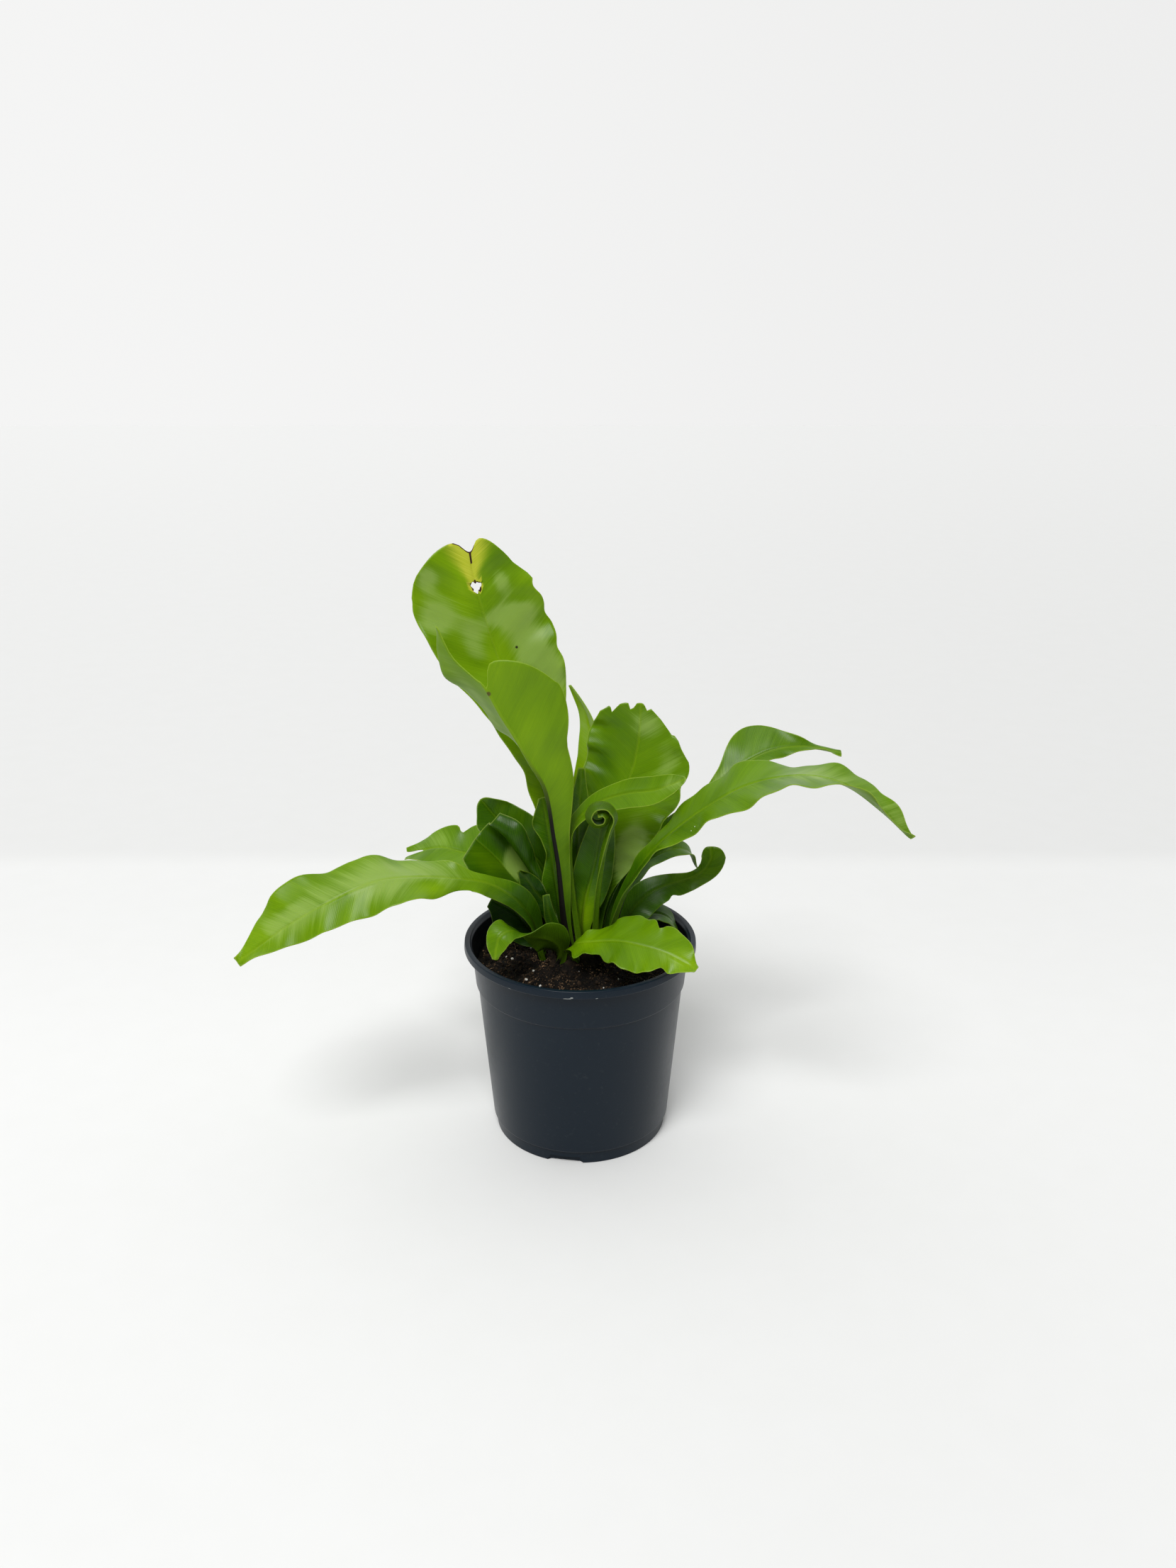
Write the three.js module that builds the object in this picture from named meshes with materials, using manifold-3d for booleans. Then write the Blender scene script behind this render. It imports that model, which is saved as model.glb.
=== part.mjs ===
// A bird's nest fern of the wavy-edged kind in a round plastic nursery pot.
// Millimetres, +Z up. The origin is the centre of the pot's underside, on the ground; the plant is
// described as seen from the front, which is -Y: +X is right and +Y is away from the viewer.
import * as THREE from "three";
import { mergeVertices } from "three/addons/utils/BufferGeometryUtils.js";
import Module from "manifold-3d";

const wasm = await Module();
wasm.setup();

const GAP = 0.3; // clearance between pieces that touch

// The pot: a 140 mm nursery pot, 125 mm tall.
const POT = {
  height: 125,
  rimRadius: 70, // outside of the flat lip
  lipWidth: 3.8,
  lipHeight: 4.6,
  collarTopRadius: 65.4, // the wide band under the lip
  collarRadius: 63.4,
  collarBottom: 98,
  bodyTopRadius: 62.2,
  bodyRadius: 54.4, // where the body meets the foot
  footHeight: 8,
  footRadius: 52.4,
  wall: 1.5,
  floorRaise: 3.2, // the drained part of the floor stands this far off the ground
  floorThick: 1.6,
  padRadius: 14, // the middle of the floor comes down to the ground
  footRing: 4.5, // width of the ring that the pot stands on
  sides: 48,
};
const NOTCH = { count: 3, first: 260, width: 19, height: 4.2 }; // drain slots in the foot, degrees
const DRAIN = { count: 8, circle: 32, radius: 4.5 };

// The potting mix fills the pot and rises towards the plant.
const SOIL = { edge: 108, mound: 6, rings: 8, sides: 32, grain: 1.1 };

// The crown is the short woody stem that every frond grows from.
const CROWN = { x: -2, y: 0, bottom: 92, top: 119, radius: 23, shoulder: 111, sides: 24 };

const BLADE_THICK = 0.8;
const KEEL_WIDTH = 1.3; // half-width of the midrib's keel
const STALK = 3.0; // thickness of a stalk where it leaves the crown
const SOCKET_GAP = 0.45; // room round a stalk in its hole in the crown
const BEND_STEPS = 12; // how finely the bend of a blade across its width is summed

// Each frond, from its socket in the crown to its tip. The lists run evenly from base to tip.
//   path     points on the midrib
//   heading  the way the frond leans out, in degrees from +X towards +Y; it sets which way it faces
//   half     half-width of the blade
//   roll     turn of the blade about its midrib, in degrees
//   fold     how far each half is lifted from flat at the midrib, in degrees
//   curl     how much further it bends on its way to the edge, in degrees
//   flare    how far its outer part bends back again, in degrees
//   waves    [number of waves, height, phase in turns]
//   end      how the blade ends, described at FULL_END
//   hole     a hole on the midrib, with its place along it and its radius
//   rim      bites out of the edge, each [place along, depth, width]; a lobe has a depth below 0
//   thick    thickness of the midrib towards the tip
//   left, right   what differs on one side
//   columns  strips across, 5, 7 or 11; rows, steps along
const FRONDS = [
  {
    name: "frond_tall_back",
    heading: 100,
    path: [
      [-7, 9, 110], [-12, 14, 165], [-20, 20, 206], [-29, 27, 240], [-42, 34, 274], [-53, 41, 303],
      [-61.5, 46, 333], [-65, 48, 357],
    ],
    half: [2.4, 4, 7, 11, 18, 33, 37, 34, 26],
    left: {
      half: [2.4, 4, 6, 9, 14, 22, 34, 40, 40],
      end: { notch: 0.03, width: 0.14, shoulder: 0.1, round: 2.4 },
      rim: [[0.9, 2, 0.02]],
    },
    roll: [0, -6, -8, -4, 0],
    fold: [35, 30, 20, 10, 6, 4],
    curl: [0, 0, 0, 0, 6],
    waves: [6, 1.8, 0.1],
    end: { notch: 0.03, width: 0.14, shoulder: 0.12, round: 3 },
    rim: [[0.93, 2, 0.018], [0.86, 2.5, 0.018], [0.79, 2, 0.018], [0.7, 2, 0.02]],
    hole: { at: 0.891, radius: 2.8 },
    columns: 7,
    rows: 22,
  },
  {
    name: "frond_tall_front",
    heading: 270,
    path: [
      [-4, -6, 110], [-9, -8, 139], [-12, -10, 172], [-15, -12, 195], [-20, -14, 226], [-28, -14, 241],
      [-36, -14, 256], [-44, -13, 269], [-51, -12, 282], [-60, -11, 296], [-69, -9, 310],
      [-75, -8, 321],
    ],
    half: [2.4, 3, 5, 7, 10, 16, 26, 37, 41, 39, 30],
    right: {
      fold: [30, 60, 80, 88, 80, 66, 52, 46],
      half: [2.4, 3, 5, 6, 8, 10, 14, 20, 26, 26, 10],
      end: { notch: 0.17, width: 0.45 },
      rim: [],
    },
    roll: [0, 0, 0, 0],
    fold: [20, 15, 10, 5, 0, 0],
    curl: [0, 0, 0, 0],
    waves: [5, 1.2, 0.3],
    end: { notch: 0.06, width: 0.16, short: 0.13, shoulder: 0.14, round: 2 },
    rim: [[0.74, 2, 0.03], [0.6, 1.5, 0.03]],
    columns: 7,
    rows: 22,
  },
  {
    name: "frond_sliver_back",
    heading: 60,
    path: [[1, 17, 110], [5, 30, 160], [8, 41, 205], [7, 46, 235], [3, 47, 253], [-6, 47, 269]],
    half: [2.2, 4, 9, 14, 12, 8, 1.2],
    roll: [0, 0, 10, 30],
    fold: [30, 20, 15, 15],
    curl: [0, 0, 0],
    waves: [3, 0.8, 0],
    columns: 5,
    rows: 14,
  },
  {
    name: "frond_broad_center",
    heading: 80,
    path: [
      [9, 5, 110], [11, 11, 150], [14, 16, 175], [19, 20, 192], [26, 24, 208], [32, 28, 225],
      [35, 31, 242], [36, 33, 262],
    ],
    half: [2.4, 4, 8, 19, 26, 31, 34, 29, 16],
    left: {
      half: [2.4, 4, 7, 12, 20, 27, 29, 30, 22],
      fold: [20, 10, 0, -5, 0, 0],
      end: { shoulder: 0.03, ragged: 0.03 },
      rim: [],
    },
    roll: [0, 0, 0, 0],
    fold: [30, 20, 5, 5, 5, 0],
    curl: [0, 0, 0, 0],
    waves: [7, 1.6, 0.2],
    end: { shoulder: 0.18, round: 2.2, ragged: 0.022 },
    rim: [[0.62, 2, 0.03], [0.74, 2.5, 0.025], [0.84, 2, 0.02]],
    columns: 7,
    rows: 22,
  },
  {
    name: "frond_young_arching",
    heading: 0,
    path: [
      [0, -3, 110], [-4, -2, 150], [-6, -2, 182], [-4, -2, 197], [3, -3, 207], [12, -4, 214],
      [27, -7, 220], [43, -12, 224], [60, -18, 233],
    ],
    half: [2.2, 2.6, 3, 3.4, 5, 9, 10, 9.5, 5],
    left: { half: [2.2, 2.6, 3, 3.4, 4, 6, 8, 8.5, 5] },
    roll: [0, 0, -20, -40, -40],
    fold: [30, 30, 15, 5],
    curl: [0, 0, 0],
    waves: [3, 0.8, 0.4],
    end: { shoulder: 0.05, round: 2 },
    columns: 5,
    rows: 18,
  },
  {
    name: "frond_right_long",
    heading: -15,
    path: [
      [14, -6, 110], [25, -12, 157], [40, -17, 186], [57, -22, 206], [88, -32, 232],
      [107, -36, 240], [126, -40, 243], [146, -44, 239], [166, -47, 225], [183, -48, 209],
    ],
    half: [2.6, 4, 4, 4.5, 10, 14, 19, 22, 19, 13, 2.5],
    left: { half: [2.6, 4, 5, 7, 11, 17, 20, 19, 17, 12, 2.5], fold: [40, 30, 12, 8, 14, -12, 8, 30] },
    roll: [0, -20, -25, -15, -12, -10, -10],
    fold: [40, 30, 10, -10, -8, 15, 35, 35],
    curl: [0, 0, 0, 0],
    waves: [6, 1.8, 0.2],
    columns: 7,
    rows: 26,
  },
  {
    name: "frond_right_back",
    heading: 22,
    path: [
      [8, 14, 110], [25, 30, 146], [47, 42, 171], [65, 45, 187], [82, 51, 202], [100, 56, 215],
      [118, 60, 223], [138, 63, 225], [163, 66, 220],
    ],
    half: [2.4, 4, 5, 7, 10, 9, 8, 4, 2.5],
    left: { half: [2.4, 5, 7, 6, 4, 6, 22, 6, 2.5] },
    roll: [0, -20, -30, -30],
    fold: [40, 25, 10, 10],
    curl: [0, 0, 0],
    waves: [5, 1.8, 0.6],
    columns: 5,
    rows: 20,
  },
  {
    name: "frond_right_curled",
    heading: -2,
    path: [
      [18, 0, 109], [26, 3, 130], [33, 6, 142], [42, 8, 150], [51, 10, 154], [60, 12, 156],
      [68, 14, 158], [75, 16, 162], [79, 18, 168], [79, 21, 175],
    ],
    half: [2.4, 6, 9, 11, 11, 10, 9, 8, 7, 8.5, 9],
    left: { half: [2.4, 4, 6, 8, 9, 9, 7, 4.5, 3.5, 5, 7], fold: [35, 20, 8, 0, 0, 0], rim: [] },
    roll: [0, -20, -45, -55, -60, -68, -80],
    fold: [35, 10, -5, 0, 0, 0],
    curl: [0, 0, 0],
    waves: [4, 0.9, 0.1],
    end: { notch: 0, width: 0.2, shoulder: 0.06 },
    rim: [[0.62, 2, 0.03]],
    columns: 5,
    rows: 22,
  },
  {
    name: "frond_right_arch",
    heading: 25,
    path: [
      [14, 9, 109], [20, 16, 132], [30, 23, 149], [40, 27, 162], [50, 28, 168], [59, 30, 170],
      [67, 35, 166], [72, 37, 155],
    ],
    half: [2.2, 3, 5, 6, 8, 7, 6, 3],
    roll: [0, -20, -20],
    fold: [35, 20, 10],
    curl: [0, 0],
    waves: [3, 1, 0.5],
    columns: 5,
    rows: 14,
  },
  {
    name: "frond_right_low",
    heading: 22,
    path: [[18, 8, 107], [27, 11, 122], [37, 14, 131], [46, 16, 133], [54, 16, 130], [60, 15, 122]],
    half: [2.2, 4, 6, 8, 7, 2.5],
    left: { half: [2.2, 4, 8, 10, 9, 3] },
    roll: [0, -20, -20],
    fold: [30, 15, 0],
    curl: [0, 0],
    waves: [3, 0.8, 0.2],
    columns: 5,
    rows: 12,
  },
  {
    name: "frond_front_right",
    heading: -35,
    path: [
      [1, -12, 108], [-4, -15, 121], [-4, -21, 130], [8, -29, 136], [22, -36, 140],
      [36, -42, 140], [50, -48, 138], [66, -56, 132],
    ],
    half: [2.2, 2.6, 6, 12, 15, 17, 17, 11, 3],
    left: {
      half: [2.2, 2.6, 5, 11, 18, 20, 18, 14, 3],
      rim: [[0.5, 2, 0.025], [0.6, -2, 0.03], [0.73, 5, 0.025], [0.8, -2, 0.03]],
    },
    roll: [0, -10, -22, -25, -25, -25],
    fold: [20, 10, 0, 0, 0],
    curl: [0, 0, 0],
    waves: [5, 1.8, 0.3],
    rim: [[0.33, -6, 0.035], [0.45, 4, 0.03], [0.62, -2, 0.05], [0.84, 3, 0.03]],
    columns: 7,
    rows: 26,
  },
  {
    name: "frond_front_left",
    heading: 215,
    path: [
      [-13, -12, 109], [-11, -15, 120], [-13, -19, 129], [-18, -23, 135], [-26, -27, 139],
      [-35, -31, 143], [-41, -35, 146], [-46, -38, 144], [-48, -40, 138], [-49, -42, 131],
    ],
    half: [2.2, 3, 4, 8, 11, 8, 6, 10, 9, 6, 1.5],
    left: { half: [2.2, 3, 4, 9, 13, 11, 6, 6, 8, 6, 1.5] },
    roll: [0, -20, -50, -60, -60, -40, 0, 30, 30, 20],
    fold: [20, 0, 0, 0, 0],
    curl: [0, 0],
    waves: [3, 1, 0.4],
    columns: 5,
    rows: 22,
  },
  {
    name: "frond_left_long",
    heading: 197,
    path: [
      [-21, -4, 108], [-28, -11, 140], [-34, -14, 152], [-41, -18, 161], [-53, -22, 170],
      [-67, -27, 175], [-93, -35, 180], [-115, -41, 180], [-142, -48, 170], [-165, -52, 157],
      [-193, -57, 137],
    ],
    half: [2.6, 5, 8.5, 8, 10, 20, 23, 21, 24, 16, 2.5],
    left: {
      half: [2.6, 3.4, 5, 8, 12, 19, 20, 17, 14, 9, 2.5],
      curl: [0, 0, -15, -25, -10, 0, 0, 0, 0, 0],
      rim: [[0.4, 4.5, 0.07]],
    },
    roll: [12, 40, 68, 55, 30, 14, 20, 36, 40, 38, 35],
    fold: [40, 20, 5, 0, -5, -10, -8, 0, 0],
    curl: [0, 0, 0, 0],
    waves: [5, 2, 0.2],
    rim: [[0.34, 3, 0.06]],
    columns: 7,
    rows: 26,
  },
  {
    name: "frond_left_back",
    heading: 155,
    path: [
      [-12, 11, 109], [-22, 19, 134], [-34, 27, 149], [-46, 35, 157], [-60, 42, 160],
      [-74, 48, 160], [-87, 53, 161], [-98, 57, 158], [-111, 60, 153],
    ],
    half: [2.2, 4, 6, 11, 17, 20, 17, 13, 5],
    roll: [0, 20, 30, 30],
    fold: [30, 15, 5],
    curl: [0, 0],
    waves: [4, 1.4, 0.1],
    end: { notch: 0.09, width: 0.25 },
    rim: [[0.69, -2, 0.03], [0.745, 5, 0.018]],
    columns: 7,
    rows: 24,
  },
  {
    name: "frond_left_ruffled",
    heading: 158,
    path: [
      [-5, 17, 109], [-13, 26, 136], [-25, 30, 161], [-36, 32, 172], [-45, 35, 181],
      [-52, 37, 188], [-57, 38, 194], [-61, 38, 199],
    ],
    half: [2.2, 4, 7, 13, 20, 22, 18, 13, 10],
    left: { half: [2.2, 4, 6, 11, 14, 16, 17, 16, 12], fold: [30, 10, 5] },
    roll: [0, 20, 30, 30],
    fold: [30, 30, 55, 55, 45],
    curl: [0, 0],
    waves: [3, 2, 0.3],
    end: { shoulder: 0.1, round: 2.4 },
    columns: 7,
    rows: 16,
  },
  {
    name: "frond_left_cupped",
    heading: 168,
    path: [
      [-14, 3, 110], [-21, 5, 128], [-28, 6, 143], [-35, 8, 154], [-42, 10, 162], [-49, 12, 170],
      [-56, 13, 177], [-63, 14, 183],
    ],
    half: [2.2, 4, 7, 11, 19, 31, 40, 44, 36],
    left: {
      half: [2.2, 4, 6, 11, 23, 31, 34, 33, 26],
      fold: [30, 20, 10, 5, 8],
      curl: [0, 0, 0],
      flare: [0, 0],
    },
    roll: [0, 10, 10],
    fold: [30, 15, 10, 10, 10],
    curl: [0, 80, 260, 300, 280],
    flare: [0, 40, 230, 270, 240],
    waves: [2.5, 1.2, 0.1],
    columns: 11,
    rows: 20,
  },
  {
    name: "frond_center_wavy",
    heading: 110,
    path: [[-9, 2, 110], [-13, 4, 145], [-17, 6, 175], [-20, 8, 198], [-22, 10, 211]],
    half: [2, 3, 4, 5, 5, 5, 4, 4, 2],
    left: { half: [2, 4, 6, 8, 9, 4, 5, 9, 3] },
    roll: [0, 0, 0],
    fold: [30, 15, 5],
    curl: [0, 0],
    waves: [4, 1.4, 0.1],
    columns: 5,
    rows: 18,
  },
  {
    name: "frond_left_shaded",
    heading: 165,
    path: [
      [-19, 5, 107], [-26, 6, 119], [-33, 7, 129], [-39, 9, 136], [-47, 10, 141], [-54, 10, 145],
    ],
    half: [2.2, 5, 9, 11, 9, 4],
    left: { half: [2.2, 5, 11, 15, 14, 5] },
    roll: [0, 45, 60, 60],
    fold: [30, 10, 0],
    curl: [0, 0],
    waves: [3, 1, 0.2],
    columns: 5,
    rows: 12,
  },
  {
    name: "frond_small_dark",
    heading: 105,
    path: [
      [-14, -4, 110], [-16, -3, 134], [-21, -2, 148], [-27, -3, 157], [-32, -3, 165],
      [-36, -4, 170],
    ],
    half: [2, 3, 3.5, 4, 6, 1.5],
    left: { half: [2, 3, 3.5, 7, 9, 1.5] },
    roll: [0, 0, 0],
    fold: [30, 15, 5],
    curl: [0, 0],
    waves: [3, 1.6, 0.2],
    columns: 5,
    rows: 12,
  },
  {
    name: "frond_small_upright",
    heading: 110,
    path: [[-8, -10, 110], [-13, -13, 130], [-18, -14, 146], [-20, -14, 159]],
    half: [2, 3, 3.6, 2],
    roll: [0, 0],
    fold: [30, 20, 10],
    curl: [0, 0],
    waves: [2, 0.4, 0.2],
    columns: 5,
    rows: 10,
  },
  {
    name: "frond_center_shaded",
    heading: 90,
    path: [[3, 2, 110], [1, 3, 130], [3, 4, 148], [8, 5, 168], [12, 6, 190], [14, 7, 202]],
    half: [2, 4, 7, 11, 12, 11, 9, 6],
    roll: [0, 0],
    fold: [30, 15, 5],
    curl: [0, 0],
    waves: [3, 0.8, 0.2],
    columns: 5,
    rows: 12,
  },
  {
    name: "frond_center_back",
    heading: 92,
    path: [[0, 8, 110], [-1, 10, 150], [-1, 12, 190], [0, 13, 214], [1, 14, 228]],
    half: [2, 4, 7, 7, 2],
    roll: [0, 0],
    fold: [30, 15, 5],
    curl: [0, 0],
    waves: [3, 0.8, 0.2],
    columns: 5,
    rows: 12,
  },
  {
    name: "frond_crozier",
    heading: 5,
    path: [
      [8, -8, 110], [9, -10, 135], [10, -13, 156], [12, -16, 178], [14, -18, 191], [17, -19, 202],
      [19.8, -19, 210.5], [15.4, -19, 217.3], [7.9, -19, 216.7], [4.9, -19, 210.5],
      [8.6, -19, 205.5], [14, -19, 206.3], [15.5, -19, 210.5], [13.1, -19, 213.3],
      [10.3, -19, 212.7],
    ],
    half: [2, 2.4, 3, 3.6, 4.4, 5, 5, 4.5, 4],
    roll: [60, 40, 20, 10, 0, 0, 0, 0, 0],
    fold: [30, 20, 20, 0, 0, 0],
    curl: [0, 0, 0, 40, 50],
    waves: [3, 0, 0],
    thick: 2,
    columns: 5,
    rows: 32,
  },
];

// A value read smoothly from a list that is spread evenly over 0 to 1.
function spread(list, t) {
  const x = Math.min(Math.max(t, 0), 1) * (list.length - 1);
  const i = Math.min(Math.floor(x), list.length - 2);
  const at = (k) => list[Math.min(Math.max(k, 0), list.length - 1)];
  const [a, b, c, d] = [at(i - 1), at(i), at(i + 1), at(i + 2)];
  const f = x - i;
  return b + 0.5 * f * (c - a + f * (2 * a - 5 * b + 4 * c - d + f * (3 * (b - c) + d - a)));
}

const radians = (degrees) => (degrees * Math.PI) / 180;

function smoothStep(low, high, x) {
  const f = Math.min(Math.max((x - low) / (high - low), 0), 1);
  return f * f * (3 - 2 * f);
}

// Where a half-blade is at q: the sum of small steps whose slope starts at fold and turns by curl on
// the way to the edge, and back by flare over its outer part.
function bend(fold, curl, flare, q) {
  const slope = (x) => fold + curl * x - flare * smoothStep(0.5, 1, x);
  let [out, lift] = [0, 0];
  for (let k = 0; k < BEND_STEPS; k++) {
    const a = slope((q * (k + 0.5)) / BEND_STEPS);
    out += (q * Math.cos(a)) / BEND_STEPS;
    lift += (q * Math.sin(a)) / BEND_STEPS;
  }
  return [out, lift, slope(q)];
}

// How a blade ends: a notch at the midrib, a side that stops short, a shoulder cut off in a curve
// and a ragged rim, each as a share of the frond's length.
const FULL_END = { short: 0, notch: 0, width: 1, shoulder: 0, round: 3, ragged: 0 };

// The upper surface of a frond at v along the midrib (0 to 1) and u across (-1 left edge, 1 right).
function frondSurface(frond) {
  const curve = new THREE.CatmullRomCurve3(frond.path.map((p) => new THREE.Vector3(...p)));
  const h = radians(frond.heading);
  const level = new THREE.Vector3(Math.sin(h), -Math.cos(h), 0);
  const sides = { left: { ...frond, ...frond.left }, right: { ...frond, ...frond.right } };
  return (v, u) => {
    const side = u < 0 ? sides.left : sides.right;
    const end = { ...FULL_END, ...side.end };
    const sign = u < 0 ? -1 : 1;
    const q = Math.abs(u);
    const notch = end.notch * Math.exp(-((u / end.width) ** 2));
    const teeth = end.ragged * Math.sin(7 * q - 0.5 * Math.sin(13 * q)) ** 2;
    const reach = 1 - end.short - notch - end.shoulder * q ** end.round - teeth;
    const t = Math.min(v * (1 + (reach - 1) * smoothStep(0.5, 1, v)), 1);
    const along = curve.getTangentAt(t);
    const across = level.clone().addScaledVector(along, -along.dot(level)).normalize();
    const up = across.clone().cross(along);
    const roll = radians(spread(frond.roll, t));
    const s = across.clone().multiplyScalar(Math.cos(roll)).addScaledVector(up, Math.sin(roll));
    const n = up.clone().multiplyScalar(Math.cos(roll)).addScaledVector(across, -Math.sin(roll));
    const fold = radians(spread(side.fold, t));
    const curl = radians(spread(side.curl, t));
    const flare = radians(spread(side.flare ?? [0, 0], t));
    const bite = (side.rim ?? []).reduce((sum, [at, depth, width]) => {
      return sum + depth * q * q * Math.exp(-(((t - at) / width) ** 2));
    }, 0);
    const half = Math.max(spread(side.half, t) - bite, 0.5);
    const [out, lift, slope] = bend(fold, curl, flare, q);
    const [waves, height, phase] = side.waves;
    const turn = 2 * Math.PI * (waves * t + phase + (u < 0 ? 0.37 : 0));
    const ripple = height * q * q * smoothStep(0.12, 0.4, t) * (Math.sin(turn) + 0.3 * Math.sin(2.3 * turn));
    return curve
      .getPointAt(t)
      .addScaledVector(s, sign * (half * out - ripple * Math.sin(slope)))
      .addScaledVector(n, half * lift + ripple * Math.cos(slope));
  };
}

// Where the columns of a blade lie across it: two close to the midrib, the rest spread to the edges.
function columnsAt(frond, half) {
  const keel = Math.min(0.34, KEEL_WIDTH / half);
  const shares = { 5: [0, 0.5, 1], 7: [0, 0.36, 0.7, 1], 11: [0, 0.2, 0.4, 0.6, 0.8, 1] }[frond.columns];
  const right = shares.map((share) => keel + (1 - keel) * share);
  return [...right.map((q) => -q).reverse(), ...right];
}

// The two faces of a blade as rows of points: the surface itself, and under it a face that follows
// at the blade's thickness, with the keel of the midrib.
function bladeFaces(frond) {
  const surface = frondSurface(frond);
  const rows = frond.rows;
  const top = [];
  for (let i = 0; i <= rows; i++) {
    const v = i / rows;
    top.push(columnsAt(frond, spread(frond.half, v)).map((u) => surface(v, u)));
  }
  const width = top[0].length;
  const bottom = top.map((row, i) =>
    row.map((point, j) => {
      const along = top[Math.min(i + 1, rows)][j].clone().sub(top[Math.max(i - 1, 0)][j]);
      const across = row[Math.min(j + 1, width - 1)].clone().sub(row[Math.max(j - 1, 0)]);
      const normal = across.cross(along).normalize();
      const v = i / rows;
      const keel = Math.max(STALK * (1 - 1.6 * v), BLADE_THICK + 0.5 * (1 - v), frond.thick ?? 0);
      const middle = j === width / 2 || j === width / 2 - 1;
      const stalk = smoothStep(0.25, 0, v);
      const thick = middle ? keel : BLADE_THICK + (keel - BLADE_THICK) * 0.45 * stalk;
      return point.clone().addScaledVector(normal, -thick);
    }),
  );
  return { top, bottom };
}

// Joins two grids of points, an upper and a lower one, into one closed body. Both are split alike.
function closedSheet(top, bottom) {
  const rows = top.length - 1;
  const width = top[0].length;
  const id = (side, i, j) => (side * (rows + 1) + i) * width + j;
  const faces = [];
  const wall = (a, b) => {
    faces.push(id(0, ...a), id(1, ...a), id(1, ...b));
    faces.push(id(0, ...a), id(1, ...b), id(0, ...b));
  };
  for (let i = 0; i < rows; i++) {
    for (let j = 0; j < width - 1; j++) {
      const [a, b, c, d] = [[i, j], [i, j + 1], [i + 1, j + 1], [i + 1, j]];
      for (const [p, q, r] of [[a, b, c], [a, c, d]]) {
        faces.push(id(0, ...p), id(0, ...q), id(0, ...r));
        faces.push(id(1, ...p), id(1, ...r), id(1, ...q));
      }
    }
    wall([i + 1, 0], [i, 0]);
    wall([i, width - 1], [i + 1, width - 1]);
  }
  for (let j = 0; j < width - 1; j++) {
    wall([0, j], [0, j + 1]);
    wall([rows, j + 1], [rows, j]);
  }
  const geometry = new THREE.BufferGeometry().setFromPoints([...top.flat(), ...bottom.flat()]);
  geometry.setIndex(faces);
  return geometry;
}

function frondGeometry(frond) {
  const { top, bottom } = bladeFaces(frond);
  const blade = closedSheet(top, bottom);
  if (!frond.hole) return blade;
  const { at, radius } = frond.hole;
  const surface = frondSurface(frond);
  const centre = surface(at, 0);
  const along = surface(at + 0.02, 0).sub(centre).normalize();
  const across = surface(at, 0.1).sub(surface(at, -0.1)).normalize();
  const normal = along.clone().cross(across);
  const punch = new THREE.CylinderGeometry(radius, radius, 12, 7);
  punch.applyMatrix4(new THREE.Matrix4().makeBasis(across, normal, along).setPosition(centre));
  return geometryOf(solid(blade).subtract(solid(punch)));
}

// A plain four-sided hole round the foot of a frond, from its bottom to just above the crown.
function socketGeometry(frond) {
  const { top, bottom } = bladeFaces(frond);
  const mid = top[0].length / 2;
  const last = top.findIndex((row) => row[mid].z > CROWN.top + 4);
  const low = [];
  const high = [];
  for (let i = 0; i <= last; i++) {
    const section = [...top[i], ...bottom[i]];
    const centre = section.reduce((sum, p) => sum.add(p), new THREE.Vector3()).divideScalar(section.length);
    const along = top[i + 1][mid].clone().sub(top[Math.max(i - 1, 0)][mid]).normalize();
    const across = top[i].at(-1).clone().sub(top[i][0]).normalize();
    const normal = across.clone().cross(along).normalize();
    const reach = (axis) => Math.max(...section.map((p) => Math.abs(p.clone().sub(centre).dot(axis))));
    const [a, b] = [reach(across) + SOCKET_GAP, reach(normal) + SOCKET_GAP];
    if (i === 0) centre.addScaledVector(along, -2 * SOCKET_GAP);
    const corner = (x, y) => centre.clone().addScaledVector(across, x).addScaledVector(normal, y);
    high.push([corner(-a, b), corner(a, b)]);
    low.push([corner(-a, -b), corner(a, -b)]);
  }
  return closedSheet(high, low);
}

function solid(geometry) {
  const bare = geometry.index ? geometry.toNonIndexed() : geometry.clone();
  const positions = new THREE.BufferGeometry().setAttribute("position", bare.getAttribute("position"));
  const merged = mergeVertices(positions, 1e-4);
  return new wasm.Manifold(
    new wasm.Mesh({
      numProp: 3,
      vertProperties: merged.attributes.position.array,
      triVerts: new Uint32Array(merged.index.array),
    }),
  );
}

function geometryOf(manifold) {
  const mesh = manifold.getMesh();
  const geometry = new THREE.BufferGeometry();
  geometry.setAttribute("position", new THREE.BufferAttribute(mesh.vertProperties, 3));
  geometry.setIndex(new THREE.BufferAttribute(mesh.triVerts, 1));
  return geometry;
}

// A solid of revolution about +Z from [radius, height] points, which run up the outside.
function turned(profile, sides) {
  const points = profile.map(([r, z]) => new THREE.Vector2(r, z));
  return new THREE.LatheGeometry(points, sides).rotateX(Math.PI / 2);
}

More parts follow.
